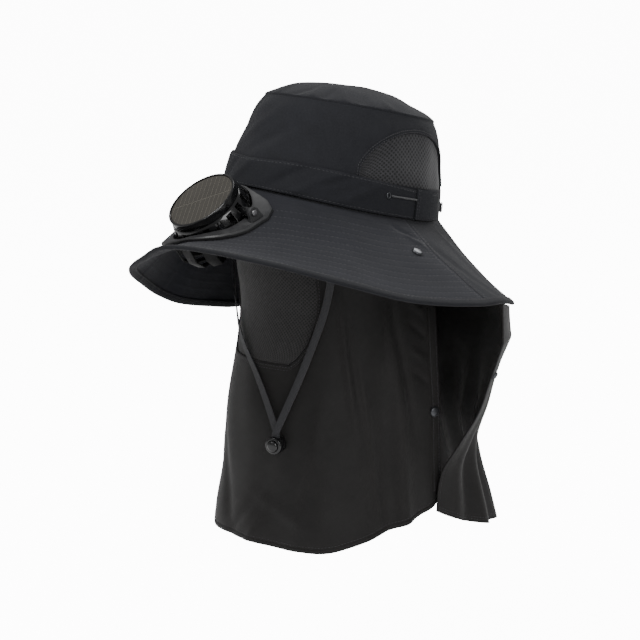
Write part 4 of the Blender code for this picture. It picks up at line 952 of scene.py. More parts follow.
def row_shares(azimuth):
    """Where the stitching rows lie, as shares of the brim's width."""
    width = BRIM_WIDTH * table_value(BRIM_SECTIONS, "width", azimuth)
    count = int(width / STITCH_ROW_PITCH)
    return [1 - (k + 0.55) * STITCH_ROW_PITCH / width for k in range(count)]


def brim_cloth(azimuth, share, lift=0.0):
    """The brim's upper face, quilted between its stitching rows at the front and sides."""
    width = BRIM_WIDTH * table_value(BRIM_SECTIONS, "width", azimuth)
    phase = (1 - share) * width / STITCH_ROW_PITCH - 0.55
    groove = STITCH_GROOVE * (2 * exp(-((phase - round(phase)) / 0.11) ** 2) - 0.2)
    fade = smooth_step(share / 0.12) * smooth_step((1 - share) / 0.04)
    shown = azimuth if azimuth <= 180 else azimuth - 360
    if abs(shown) > BRIM_SEAM_AZIMUTH:
        groove = 0.0
    dent = fold_rise(BRIM_FOLDS, shown, share, radians(1) * 0.16, width)
    place = brim_point(shown, share)
    dent += ripple(place, 0.035, 0.0009)
    return brim_point(shown, share, lift - groove * fade + dent * fade)


def fan_frame(lean):
    normal = Vector((0, -sin(radians(lean)), cos(radians(lean))))
    return facing(Vector((0, -HEAD_FORWARD, -HEAD_DROP)), normal, Vector((0, 1, 0)))


def facing(origin, normal, up):
    z = normal.normalized()
    x = up.cross(z).normalized()
    y = z.cross(x)
    turn = Matrix((x, y, z)).transposed().to_4x4()
    turn.translation = origin
    return turn


HEAD_FORWARD = 0.1325
HEAD_DROP = 0.0055
HEAD_LEAN = 38
PLATE_LEAN = 30
HOLE_FORWARD = 0.0016
HOLE_RADIUS = 0.0388
PLATE_FRAME = fan_frame(PLATE_LEAN)
HEAD_FRAME = fan_frame(HEAD_LEAN)


def brim_rows(azimuths, shares):
    def seat(azimuth, out):
        level = Vector((0, 0, GAP + side_dip(azimuth)))
        return PITCHED @ (opening_point(azimuth, 1.0, out) - level)
    rows = [[seat(a, -CROWN_CLOTH) for a in azimuths], [seat(a, 0.0) for a in azimuths]]
    return rows + [[brim_cloth(a, share) for a in azimuths] for share in shares]


def edge_frame(azimuth):
    place = brim_point(azimuth, 1.0, -BRIM_CLOTH / 2)
    out = (brim_point(azimuth, 1.0) - brim_point(azimuth, 0.96)).normalized()
    along = brim_point(azimuth + 1, 1.0) - brim_point(azimuth - 1, 1.0)
    return place, out, out.cross(along).normalized()


def brim_look(name, dark, light):
    """Stiff cotton: the woven cloth with a little more sheen."""
    made = cloth_look(name, dark, light, sheen=0.08)
    return made


BRIM_FRONT_CLOTH = brim_look("brim_cotton", (0.0088, 0.0092, 0.0118), (0.031, 0.032, 0.039))
BRIM_REAR_CLOTH = brim_look("rear_brim_cotton", (0.008, 0.0083, 0.0102), (0.027, 0.028, 0.033))


def make_brim():
    seam = BRIM_SEAM_AZIMUTH
    hole = link_mesh("fan_hole", *disc_points(HOLE_RADIUS, 0.03, 64), HAT_CLOTH)
    hole.data.transform(PLATE_FRAME @ Matrix.Translation((0, -HOLE_FORWARD, 0)))
    hole.hide_render = True
    shares = spread(0.02, 1.0, 111)
    rows = brim_rows(spread(-seam, seam, 191), shares)
    front, area, wide, tall = sew_sheet("brim_front_cloth", rows, BRIM_FRONT_CLOTH, BRIM_CLOTH,
                                        flip=True, fine=0, cutters=[hole])
    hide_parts("brim_front")
    declare_cloth(front, area)
    step = degrees(GAP / HEAD_HALF_WIDTH)
    rows = brim_rows(spread(seam + step, 360 - seam - step, 121), spread(0.02, 1.0, 50))
    rear, area, wide, tall = sew_sheet("brim_rear_cloth", rows, BRIM_REAR_CLOTH, REAR_BRIM_CLOTH,
                                       flip=True, fine=0)
    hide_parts("brim_rear")
    declare_cloth(rear, area)


def disc_points(radius, half, sides):
    """Points and faces of a round plug about the origin."""
    ring = [(radius * cos(2 * pi * k / sides), radius * sin(2 * pi * k / sides)) for k in range(sides)]
    points = [(x, y, z) for z in (-half, half) for x, y in ring]
    faces = [tuple(reversed(range(sides))), tuple(range(sides, 2 * sides))]
    for k in range(sides):
        m = (k + 1) % sides
        faces.append((k, m, sides + m, sides + k))
    return points, faces


make_brim()


def in_fan_hole(place, margin):
    local = PLATE_FRAME.inverted() @ place
    return hypot(local.x, local.y + HOLE_FORWARD) < HOLE_RADIUS + margin


def make_brim_stitches():
    """Rows round the brim, a double row along each seam, and one along the binding's inner edge."""
    lines = []
    seam = BRIM_SEAM_AZIMUTH
    rows = int(BRIM_WIDTH / STITCH_ROW_PITCH)
    for k in range(rows - 1):
        line = []
        for azimuth in spread(1 - seam, seam - 1, 260):
            width = BRIM_WIDTH * table_value(BRIM_SECTIONS, "width", azimuth)
            share = 1 - (k + 0.55) * STITCH_ROW_PITCH / width
            point = line_on(brim_cloth, [(azimuth, share), (azimuth + 0.2, share)])[0]
            if share < 0.05 or in_fan_hole(point[0], 0.0006):
                if len(line) > 1:
                    lines.append(line)
                line = []
                continue
            line.append(point)
        if len(line) > 1:
            lines.append(line)
    flipped = [[(p, -out if out.z < 0 else out, across) for p, out, across in line] for line in lines]
    stitch_mesh("brim_stitches", flipped, BLACK_THREAD, 0.0028, 0.0042, 0.00055)
    lines = []
    for side in (1, -1):
        for off in (-1.6, -0.9, 0.9, 1.6):
            line = line_on(brim_cloth, [(side * (seam + off), s) for s in spread(0.06, 0.98, 60)])
            lines.append([(p, -out if out.z < 0 else out, across) for p, out, across in line])
    for k in range(4):
        line = line_on(brim_cloth, [(a, 1 - (k + 0.8) * 0.010) for a in spread(seam + 1, 359 - seam, 200)])
        if k in (0, 2):
            lines.append([(p, -out if out.z < 0 else out, across) for p, out, across in line])
    stitch_mesh("seam_stitches", lines, BLACK_THREAD, 0.0022, 0.0033)


make_brim_stitches()


def make_brim_binding():
    """A folded tape round the edge: rounded outside, with the brim's edge held in its fold."""
    lip = BINDING_THICKNESS / 2
    slot = BRIM_CLOTH / 2 + GAP
    end = GAP + BINDING_WIDTH
    shape = [(-BINDING_LIP, slot), (-BINDING_LIP, lip * 0.92), (-BINDING_LIP * 0.8, lip), (0.0, lip),
             (end * 0.55, lip * 0.95), (end * 0.88, lip * 0.6), (end, 0.0)]
    shape += [(x, -y) for x, y in reversed(shape[:-1])] + [(GAP, -slot), (GAP, slot)]
    sides = len(shape)
    points = []
    line = [edge_frame(azimuth) for azimuth in spread(-180, 180, 361)[:-1]]
    for i, (middle, out, up) in enumerate(line):
        pucker = 1 + 0.05 * sin(i * 2.1) + 0.04 * noise.noise(middle / 0.006)
        for x, y in shape:
            swell = pucker if abs(y) > slot * 1.01 else 1
            points.append(middle + out * x + up * (y * swell))
    faces = []
    count = len(line)
    for r in range(count):
        s = (r + 1) % count
        for c in range(sides):
            d = (c + 1) % sides
            faces.append((r * sides + c, r * sides + d, s * sides + d, s * sides + c))
    piece = link_mesh("brim_binding_tape", points, faces, TAPE_CLOTH)
    work = bmesh.new()
    work.from_mesh(piece.data)
    bmesh.ops.recalc_face_normals(work, faces=work.faces)
    work.to_mesh(piece.data)
    work.free()
    layer = piece.data.uv_layers.new(name="cloth")
    for face in piece.data.polygons:
        spots = [divmod(piece.data.loops[i].vertex_index, sides) for i in face.loop_indices]
        wrap_row = max(r for r, c in spots) - min(r for r, c in spots) > 1
        wrap_side = max(c for r, c in spots) - min(c for r, c in spots) > 1
        for i, (row, side) in zip(face.loop_indices, spots):
            row += count if wrap_row and row == 0 else 0
            side += sides if wrap_side and side == 0 else 0
            layer.data[i].uv = (row * 0.0034, side * 0.0012)
    piece.data.shade_smooth()
    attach(piece, "root")
    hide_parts("brim_binding")
    rows = []
    for turn in (1, -1):
        rows.append([(middle - out * (BINDING_LIP * 0.35) + up * (turn * lip), up * turn, out)
                     for middle, out, up in line])
    stitch_mesh("binding_stitches", rows, BLACK_THREAD, 0.0024, 0.0036)


make_brim_binding()

# Fan unit
# Moulded black plastic let into the front of the brim: a matte base plate lies on the cloth, a
# glossy cage tilts between its two ears on steel screws and carries the solar disc above, the motor
# and the impeller inside, and a glossy grille covers the hole from below.
EDGE_ROUNDING = 0.0004


def wear_group():
    """Fine scuffs and dust on a hard surface: a mask and a roughness from object coordinates."""
    group = bpy.data.node_groups.new("handling_wear", "ShaderNodeTree")
    face = group.interface
    for label in ("Scale", "Amount", "Roughness"):
        face.new_socket(name=label, in_out="INPUT", socket_type="NodeSocketFloat")
    for label, kind in (("Mask", "NodeSocketFloat"), ("Roughness", "NodeSocketFloat"),
                        ("Height", "NodeSocketFloat")):
        face.new_socket(name=label, in_out="OUTPUT", socket_type=kind)
    start = group.nodes.new("NodeGroupInput")
    end = group.nodes.new("NodeGroupOutput")
    place = add_node(group, "ShaderNodeTexCoord").outputs["Object"]
    dust = add_node(group, "ShaderNodeTexNoise", {"Vector": place, "Scale": start.outputs["Scale"],
                                                  "Detail": 6.0, "Roughness": 0.6})
    thin = add_node(group, "ShaderNodeMapRange", {"Value": dust.outputs["Fac"], "From Min": 0.45,
                                                  "From Max": 0.75})
    mask = add_node(group, "ShaderNodeMath", {0: thin.outputs[0], 1: start.outputs["Amount"]},
                    operation="MULTIPLY")
    rough = add_node(group, "ShaderNodeMath", {0: mask.outputs[0], 1: 0.35,
                                               2: start.outputs["Roughness"]}, operation="MULTIPLY_ADD")
    grain = add_node(group, "ShaderNodeTexNoise", {"Vector": place, "Scale": 1800.0})
    group.links.new(mask.outputs[0], end.inputs["Mask"])
    group.links.new(rough.outputs[0], end.inputs["Roughness"])
    group.links.new(grain.outputs["Fac"], end.inputs["Height"])
    return group


WEAR = wear_group()


def hard_look(name, colour, worn, roughness, metallic=0.0, grain=0.00002, coat=0.0, shine=0.5):
    made, tree, shader = new_material(name, colour, roughness, metallic)
    wear = add_node(tree, "ShaderNodeGroup", node_tree=WEAR)
    wear.inputs["Scale"].default_value = 120.0
    wear.inputs["Amount"].default_value = 0.5
    wear.inputs["Roughness"].default_value = roughness
    tree.links.new(colour_mix(tree, wear.outputs["Mask"], colour, worn), shader.inputs["Base Color"])
    tree.links.new(wear.outputs["Roughness"], shader.inputs["Roughness"])
    bump = add_node(tree, "ShaderNodeBump", {"Height": wear.outputs["Height"], "Distance": grain,
                                             "Strength": 0.5})
    tree.links.new(bump.outputs[0], shader.inputs["Normal"])
    shader.inputs["Coat Weight"].default_value = coat
    shader.inputs["Specular IOR Level"].default_value = shine
    return made


GLOSS_PLASTIC = hard_look("gloss_black_plastic", (0.0045, 0.0045, 0.0050), (0.014, 0.014, 0.015), 0.17,
                          coat=0.3)
MATTE_PLASTIC = hard_look("matte_grey_plastic", (0.023, 0.0235, 0.025), (0.040, 0.040, 0.042), 0.48,
                          grain=0.00008)
SATIN_PLASTIC = hard_look("satin_black_plastic", (0.0040, 0.0040, 0.0042), (0.010, 0.010, 0.010), 0.50,
                          shine=0.15)
STEEL = hard_look("screw_steel", (0.30, 0.30, 0.31), (0.18, 0.18, 0.18), 0.28, 1.0)


def moulded_copy(node, name, look, rounding=EDGE_ROUNDING, angle=32, body="root"):
    """A smooth copy of a fixed solid, with its moulded edges rounded."""
    source = bpy.data.objects[node]
    mesh = source.data.copy()
    piece = bpy.data.objects.new(name, mesh)
    bpy.context.scene.collection.objects.link(piece)
    mesh.materials.clear()
    mesh.materials.append(look)
    work = bmesh.new()
    work.from_mesh(mesh)
    bmesh.ops.remove_doubles(work, verts=work.verts, dist=0.00001)
    bmesh.ops.dissolve_limit(work, angle_limit=radians(1.5), verts=work.verts, edges=work.edges)
    work.to_mesh(mesh)
    work.free()
    if rounding:
        soft = piece.modifiers.new("edges", "BEVEL")
        soft.width = rounding
        soft.segments = 2
        soft.limit_method = "ANGLE"
        soft.angle_limit = radians(angle)
        soft.use_clamp_overlap = True
        apply_all(piece)
    piece.data.shade_smooth()
    piece.data.set_sharp_from_angle(angle=radians(angle + 12))
    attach(piece, body)
    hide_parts(node)
    return piece


def turned_piece(name, profile, turn, look, steps=96, closed_ends=True):
    """A round piece: its profile is drawn point by point, spun about its axis and put in place."""
    bpy.ops.mesh.primitive_plane_add(size=0.001, location=(0, 0, 0))
    piece = bpy.context.object
    piece.name = name
    bpy.ops.object.mode_set(mode="EDIT")
    bpy.ops.mesh.select_all(action="SELECT")
    bpy.ops.mesh.merge(type="CENTER")
    radius, height = profile[0]
    bpy.ops.transform.translate(value=(radius, 0, height))
    for (r0, z0), (r1, z1) in zip(profile, profile[1:]):
        bpy.ops.mesh.extrude_region_move(TRANSFORM_OT_translate={"value": (r1 - r0, 0, z1 - z0)})
    bpy.ops.mesh.select_all(action="SELECT")
    bpy.ops.mesh.spin(steps=steps, angle=2 * pi, center=(0, 0, 0), axis=(0, 0, 1))
    bpy.ops.mesh.select_all(action="SELECT")
    bpy.ops.mesh.remove_doubles(threshold=0.00001)
    bpy.ops.mesh.normals_make_consistent(inside=False)
    bpy.ops.object.mode_set(mode="OBJECT")
    piece.data.materials.clear()
    piece.data.materials.append(look)
    piece.data.transform(turn)
    piece.data.shade_smooth()
    piece.data.set_sharp_from_angle(angle=radians(40))
    piece.select_set(False)
    return piece


def make_plate_and_grille():
    moulded_copy("fan_plate", "fan_base_plate", MATTE_PLASTIC, 0.0005)
    moulded_copy("under_grille", "lower_grille", SATIN_PLASTIC, 0.0003)
    moulded_copy("fan_cage", "tilting_cage", GLOSS_PLASTIC, 0.00045, body="fan_head")
    moulded_copy("fan_motor", "motor_can", GLOSS_PLASTIC, 0.0005, body="fan_head")
    moulded_copy("impeller", "fan_impeller", GLOSS_PLASTIC, 0.00025, body="fan_rotor")


make_plate_and_grille()

# Solar disc
# A glossy round rim pressed on the cage's ribs, with a flat cell set in its top under clear resin.
# The cell is olive brown with thin bright collector lines across it and one line along it.
DISC_RADIUS = 0.0325
RIM_LOW = 0.0160
RIM_TOP = 0.0250
RIM_WALL = 0.0020
CELL_THICKNESS = 0.0012
CELL_SINK = 0.0005
CELL_LINE_COUNT = 13
CELL_LINE_WIDTH = 0.00036
CELL_LINE_TURN = 33


def cell_look():
    """The cell: olive brown silicon under resin, with faint blocks of tone."""
    made, tree, shader = new_material("solar_cell", (0.095, 0.083, 0.062), 0.20)
    place = add_node(tree, "ShaderNodeTexCoord").outputs["Object"]
    cloud = add_node(tree, "ShaderNodeTexNoise", {"Vector": place, "Scale": 60.0, "Detail": 4.0})
    tone = colour_mix(tree, cloud.outputs["Fac"], (0.026, 0.022, 0.016), (0.044, 0.039, 0.030))
    tree.links.new(tone, shader.inputs["Base Color"])
    shine = add_node(tree, "ShaderNodeMapRange", {"Value": cloud.outputs["Fac"], "To Min": 0.16,
                                                  "To Max": 0.30})
    tree.links.new(shine.outputs[0], shader.inputs["Roughness"])
    shader.inputs["Coat Weight"].default_value = 0.6
    shader.inputs["Coat Roughness"].default_value = 0.08
    return made


def make_solar_disc():
    r = DISC_RADIUS
    inner = r - RIM_WALL
    floor_level = RIM_TOP - CELL_THICKNESS - CELL_SINK
    profile = [(0.0, RIM_LOW), (0.90 * r, RIM_LOW), (0.93 * r, RIM_LOW + 0.0001)]
    profile += [(r * (0.93 + 0.07 * sin(a)), RIM_LOW + 0.0024 * (1 - cos(a)))
                for a in (radians(30), radians(60), radians(90))]
    profile += [(r, RIM_TOP - 0.0022), (r, RIM_TOP - 0.0012)]
    profile += [(r - 0.0008 * (1 - cos(a)), RIM_TOP - 0.0012 + 0.0012 * sin(a))
                for a in (radians(35), radians(65), radians(90))]
    profile += [(inner + 0.0003, RIM_TOP), (inner, RIM_TOP - 0.0003), (inner, floor_level),
                (0.0, floor_level)]
    rim = turned_piece("solar_disc_rim", profile, HEAD_FRAME, GLOSS_PLASTIC)
    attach(rim, "fan_head")
    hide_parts("solar_rim")
    radius = inner - GAP
    low = floor_level + GAP
    top = low + CELL_THICKNESS - 2 * GAP
    profile = [(0.0, low), (radius, low), (radius, top - 0.0002), (radius - 0.0002, top), (0.0, top)]
    cell = turned_piece("solar_cell_disc", profile, HEAD_FRAME, cell_look())
    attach(cell, "fan_head")
    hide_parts("solar_cell")
    lines_look = hard_look("collector_silver", (0.105, 0.097, 0.081), (0.080, 0.073, 0.061), 0.45)
    points = []
    faces = []

    def bar_on_cell(x0, y0, x1, y1, wide):
        way = Vector((x1 - x0, y1 - y0, 0)).normalized() * wide / 2
        side = Vector((-way.y, way.x, 0))
        base = len(points)
        for x, y in ((x0, y0), (x1, y1)):
            for s, z in ((1, top), (1, top + 0.0001), (-1, top + 0.0001), (-1, top)):
                points.append(HEAD_FRAME @ (Vector((x, y, z)) + side * s))
        for k in range(4):
            m = (k + 1) % 4
            faces.append((base + k, base + m, base + 4 + m, base + 4 + k))
        faces.append((base, base + 1, base + 2, base + 3))
        faces.append((base + 7, base + 6, base + 5, base + 4))

    turn = radians(CELL_LINE_TURN)
    reach = radius * 0.985
    for k in range(CELL_LINE_COUNT):
        off = reach * (2 * (k + 0.5) / CELL_LINE_COUNT - 1)
        half = sqrt(max(0.0, reach * reach - off * off))
        ax, ay = cos(turn), sin(turn)
        bx, by = -sin(turn), cos(turn)
        bar_on_cell(ax * off - bx * half, ay * off - by * half, ax * off + bx * half,
                    ay * off + by * half, CELL_LINE_WIDTH)
    ax, ay = cos(turn), sin(turn)
    bar_on_cell(-ax * reach, -ay * reach, ax * reach, ay * reach, CELL_LINE_WIDTH * 2)
    lines = link_mesh("collector_lines", points, faces, lines_look)
    work = bmesh.new()
    work.from_mesh(lines.data)
    bmesh.ops.recalc_face_normals(work, faces=work.faces)
    work.to_mesh(lines.data)
    work.free()
    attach(lines, "fan_head")


make_solar_disc()

# Metal fittings
# Gunmetal press studs on the brim, veil and cape, chrome rings for the rear cord, small dark
# eyelets for the side cords, and the two screws that the fan tilts on.
GUNMETAL = hard_look("gunmetal", (0.085, 0.088, 0.095), (0.040, 0.040, 0.044), 0.30, 0.85)
CHROME = hard_look("chrome", (0.78, 0.78, 0.80), (0.50, 0.50, 0.52), 0.12, 1.0)


def make_fittings():
    for side in ("left", "right"):
        for node in ("brim_snap", "veil_snap", "cape_snap"):
            moulded_copy("%s_%s" % (node, side), "%s_stud_%s" % (node, side), GUNMETAL, 0.0, 40)
        moulded_copy("side_eyelet_%s" % side, "dark_eyelet_%s" % side, GUNMETAL, 0.0, 80)
        moulded_copy("rear_ring_%s" % side, "chrome_ring_%s" % side, CHROME, 0.0, 80)
        moulded_copy("pivot_screw_%s" % side, "tilt_screw_%s" % side, STEEL, 0.0002, 40)


make_fittings()

# Face veil
# Thin brown-black cloth hung from inside the hat's front and sides down past the chin, with a net
# window over the nose and mouth, a narrow hem, and a faced rear edge that takes a press stud.
VEIL_CLOTH = 0.0012
VEIL_CENTRE = 0.010
VEIL_REAR = 0.044
WINDOW_TOP = -0.036
WINDOW_BOTTOM = -0.136
VeilSection = namedtuple("VeilSection", "height half_width front rear_half_width")
VEIL_SECTIONS = (
    VeilSection(-0.310, 0.1045, 0.1000, 0.1010),
    VeilSection(-0.289, 0.1030, 0.0990, 0.1010),
    VeilSection(-0.251, 0.0970, 0.0930, 0.1000),
    VeilSection(-0.183, 0.0920, 0.0880, 0.0970),
    VeilSection(-0.140, 0.0850, 0.0805, 0.0940),
    VeilSection(-0.096, 0.0800, 0.0760, 0.0900),
    VeilSection(-0.050, 0.0830, 0.0800, 0.0850),
)
VeilEdge = namedtuple("VeilEdge", "azimuth top hem")
VEIL_EDGES = (
    VeilEdge(0, -0.026, -0.299),
    VeilEdge(30, -0.022, -0.300),
    VeilEdge(50, -0.012, -0.299),
    VeilEdge(70, 0.000, -0.292),
    VeilEdge(90, 0.000, -0.285),
    VeilEdge(112, -0.004, -0.279),
    VeilEdge(128, -0.014, -0.275),
    VeilEdge(135, -0.020, -0.266),
)
VeilFold = namedtuple("VeilFold", "azimuth width depth start")
VEIL_FOLDS = (
    VeilFold(-62, 16, 0.0050, -0.14),
    VeilFold(-24, 12, 0.0035, -0.17),
    VeilFold(20, 14, -0.0030, -0.19),
    VeilFold(48, 12, 0.0040, -0.15),
    VeilFold(84, 9, -0.0045, -0.09),
    VeilFold(98, 8, 0.0045, -0.09),
    VeilFold(-90, 10, -0.0040, -0.09),
)
WindowSection = namedtuple("WindowSection", "share half_angle")
WINDOW_SECTIONS = (
    WindowSection(0.00, 37),
    WindowSection(0.08, 42),
    WindowSection(0.45, 44),
    WindowSection(0.75, 39),
    WindowSection(0.93, 31),
    WindowSection(1.00, 25),
)
VEIL_CREASES = (
    Fold(62, 0.42, 6, 0.060, 0.0035, 0.0018),
    Fold(70, 0.60, 8, 0.070, 0.0040, -0.0018),
    Fold(76, 0.75, 6, 0.070, 0.0035, 0.0016),
    Fold(2, 0.90, -35, 0.030, 0.0045, -0.0020),
    Fold(10, 0.94, -30, 0.020, 0.0030, 0.0016),
    Fold(24, 0.88, 65, 0.030, 0.0060, 0.0014),
    Fold(-20, 0.80, 20, 0.050, 0.0060, -0.0018),
    Fold(40, 0.75, -10, 0.060, 0.0060, 0.0014),
    Fold(118, 0.30, 70, 0.012, 0.0028, 0.0013),
    Fold(119, 0.38, 65, 0.012, 0.0026, -0.0013),
    Fold(118, 0.46, 72, 0.012, 0.0028, 0.0012),
    Fold(120, 0.54, 66, 0.012, 0.0026, -0.0012),
    Fold(104, 0.50, 10, 0.070, 0.0060, -0.0016),
    Fold(-60, 0.62, 8, 0.070, 0.0050, 0.0018),
    Fold(-78, 0.70, -6, 0.070, 0.0050, -0.0018),
)


def veil_plan(azimuth, height, out=0.0):
    low, high = VEIL_SECTIONS[0].height, VEIL_SECTIONS[-1].height
    level = max(low, min(high, height))
    width = table_value(VEIL_SECTIONS, "half_width", level)
    front = table_value(VEIL_SECTIONS, "front", level)
    rear = table_value(VEIL_SECTIONS, "rear_half_width", level)
    if height > high:
        t = min(1.0, (height - high) / -high)
        seat = HEAD_HALF_WIDTH - CROWN_CLOTH - 6 * GAP
        width += (seat - 2 * GAP - width) * t
        rear += (seat * sqrt(1 - (VEIL_REAR / HEAD_HALF_LENGTH) ** 2) - 11 * GAP - rear) * t
        front += (HEAD_HALF_LENGTH - VEIL_CENTRE - CROWN_CLOTH - 4 * GAP - front) * t
    side = 1 if azimuth >= 0 else -1
    turn = abs(azimuth)
    if turn <= 90:
        a = radians(turn)
        place = Vector((side * width * sin(a), -VEIL_CENTRE - front * cos(a), height))
        normal = Vector((side * front * sin(a), -width * cos(a), 0)).normalized()
    else:
        t = (turn - 90) / 45
        place = Vector((side * (width + (rear - width) * t),
                        -VEIL_CENTRE + (VEIL_CENTRE + VEIL_REAR) * t, height))
        normal = Vector((side, 0, 0))
    bulge = 0.0
    for fold in VEIL_FOLDS:
        near = (azimuth - fold.azimuth) / fold.width
        deep = smooth_step((fold.start - height) / 0.10)
        bulge += fold.depth * deep / (1 + near ** 4 + near ** 2)
    return place + normal * (bulge + out)


def veil_edge(azimuth, column):
    return table_value(VEIL_EDGES, column, abs(azimuth))


def veil_cloth(azimuth, height, out=0.0):
    """The veil's outer face with its creases, still where it is sewn in."""
    top = veil_edge(azimuth, "top")
    hem = veil_edge(azimuth, "hem")
    share = (top - height) / (top - hem)
    fade = smooth_step((share - 0.10) / 0.15) * smooth_step((135.5 - abs(azimuth)) / 5)
    plain = veil_plan(azimuth, height)
    dent = fold_rise(VEIL_CREASES, azimuth, share, radians(1) * 0.09, top - hem)
    dent += ripple(Vector((plain.x, plain.y, plain.z * 0.5)), 0.030, 0.0016)
    return veil_plan(azimuth, height, out + dent * fade)


def window_place(u, v, inset):
    girth = radians(1) * VEIL_SECTIONS[-3].front
    height = WINDOW_BOTTOM + inset + (WINDOW_TOP - WINDOW_BOTTOM - 2 * inset) * v
    half = table_value(WINDOW_SECTIONS, "half_angle", 1 - v) - inset / girth
    return half * u, height


VEIL_LOOK = cloth_look("veil_cloth", (0.0070, 0.0066, 0.0066), (0.024, 0.0225, 0.0220), 0.0006, 0.00008,
                       sheen=0.10, smooth=0.60)
VEIL_NET = net_look("window_net", (0.021, 0.0200, 0.0200), 0.0024, 0.33)


def make_veil():
    def cut(u, v, out):
        azimuth, height = window_place(u, v, 0)
        return veil_plan(azimuth, height, out)
    cutter = curved_cutter("window_cutter", cut, 24, 18, 5 * VEIL_CLOTH)
    azimuths = spread(-135, 135, 181)
    rows = []
    for share in spread(0, 1, 101):
        rows.append([veil_cloth(a, veil_edge(a, "top") + (veil_edge(a, "hem") - veil_edge(a, "top")) * share)
                     for a in azimuths])
    veil, area, wide, tall = sew_sheet("veil_hung_cloth", rows, VEIL_LOOK, VEIL_CLOTH, flip=True, fine=0,
                                       cutters=[cutter])
    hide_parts("veil")
    declare_cloth(veil, area)
    rows = [[veil_cloth(*window_place(u, v, 2 * GAP), -VEIL_CLOTH / 2) for u in spread(-1, 1, 61)]
            for v in spread(1, 0, 41)]
    net, area, wide, tall = sew_sheet("veil_window_net", rows, VEIL_NET, 0.0005, flip=True, fine=0,
                                      offset=0)
    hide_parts("veil_mesh")
    min(area, wide * tall)


make_veil()


def outward(line, centre_y=0.0):
    """The same line with its ways out turned away from the head."""
    turned = []
    for place, out, across in line:
        away = Vector((place.x, place.y - centre_y, 0))
        turned.append((place, out if out.dot(away) > 0 else -out, across))
    return turned


def veil_line(places, lift=0.0):
    return outward(line_on(lambda a, h: veil_cloth(a, h, lift), places))


def make_veil_trim():
    """The window's sewn frame, the hem, the rear facings and the seam below the window."""
    around = [window_place(u, 1, -0.0016) for u in spread(-1, 1, 40)]
    around += [window_place(1, v, -0.0016) for v in spread(0.98, 0.02, 40)]
    around += [window_place(u, 0, -0.0016) for u in spread(1, -1, 40)]
    around += [window_place(-1, v, -0.0016) for v in spread(0.02, 0.98, 40)]
    line = veil_line(around)
    frame_tape = ribbon("window_frame_tape", line, 0.0034, 0.00055, VEIL_LOOK, closed=True)
    rows = [[(p + out * 0.0006, out, across) for p, out, across in line]]
    hem = [(a, veil_edge(a, "hem") + 0.0055) for a in spread(-134, 134, 240)]
    edge = [(a, veil_edge(a, "hem") + 0.0016) for a in spread(-134, 134, 240)]
    hem_tape = ribbon("veil_hem_fold", veil_line(edge), 0.0034, 0.0006, VEIL_LOOK)
    rows.append(veil_line(hem))
    for side in (1, -1):
        tall = [(side * 131.5, h) for h in spread(-0.050, -0.262, 80)]
        facing_tape = ribbon("veil_facing_%s" % name_of(side), veil_line(tall), 0.0095, 0.0008, VEIL_LOOK)
        for azimuth in (128.9, 134.0):
            line = veil_line([(side * azimuth, h) for h in spread(-0.050, -0.262, 80)])
            rows.append([(p + out * 0.0008, out, across) for p, out, across in line])
    for height in (-0.1390, -0.1405):
        rows.append(veil_line([(a, height) for a in spread(-26, 26, 60)]))
    stitch_mesh("veil_stitches", rows, BLACK_THREAD, 0.0020, 0.0030, 0.00045)


make_veil_trim()

# Chin strap
# Flat woven tape from inside the hat on each side, doubled on the near side, that meets in a round
# spring lock below the chin and lies over the veil.
STRAP_WIDTH = 0.0066
STRAP_THICKNESS = 0.0012
STRAP_CLEARANCE = 0.0020
TOGGLE_AZIMUTH = 23
TOGGLE_HEIGHT = -0.2040
TOGGLE_DEPTH = 0.0110
STRAP_ANCHOR_AZIMUTH = 50
STRAP_ANCHOR_HEIGHT = 0.006
StrapPlace = namedtuple("StrapPlace", "azimuth height out")
STRAP_PLACES = (
    StrapPlace(53, -0.012, 0.0008),
    StrapPlace(54, -0.034, 0.0040),
    StrapPlace(52, -0.062, 0.0030),
    StrapPlace(48, -0.088, 0.0020),
    StrapPlace(42, -0.113, 0.0012),
    StrapPlace(34, -0.145, 0.0006),
    StrapPlace(27, -0.174, 0.0012),
    StrapPlace(23, -0.193, 0.0040),
)
FAR_STRAP_PLACES = (
    StrapPlace(-53, -0.012, 0.0012),
    StrapPlace(-54, -0.034, 0.0040),
    StrapPlace(-50, -0.062, 0.0030),
    StrapPlace(-38, -0.092, 0.0018),
    StrapPlace(-16, -0.120, 0.0010),
    StrapPlace(4, -0.148, 0.0004),
    StrapPlace(16, -0.174, 0.0010),
    StrapPlace(22.5, -0.193, 0.0038),
)


def toggle_normal():
    a = radians(TOGGLE_AZIMUTH)
    return Vector((sin(a), -cos(a), 0))


def toggle_centre():
    return veil_plan(TOGGLE_AZIMUTH, TOGGLE_HEIGHT, TOGGLE_DEPTH / 2 + STRAP_CLEARANCE)


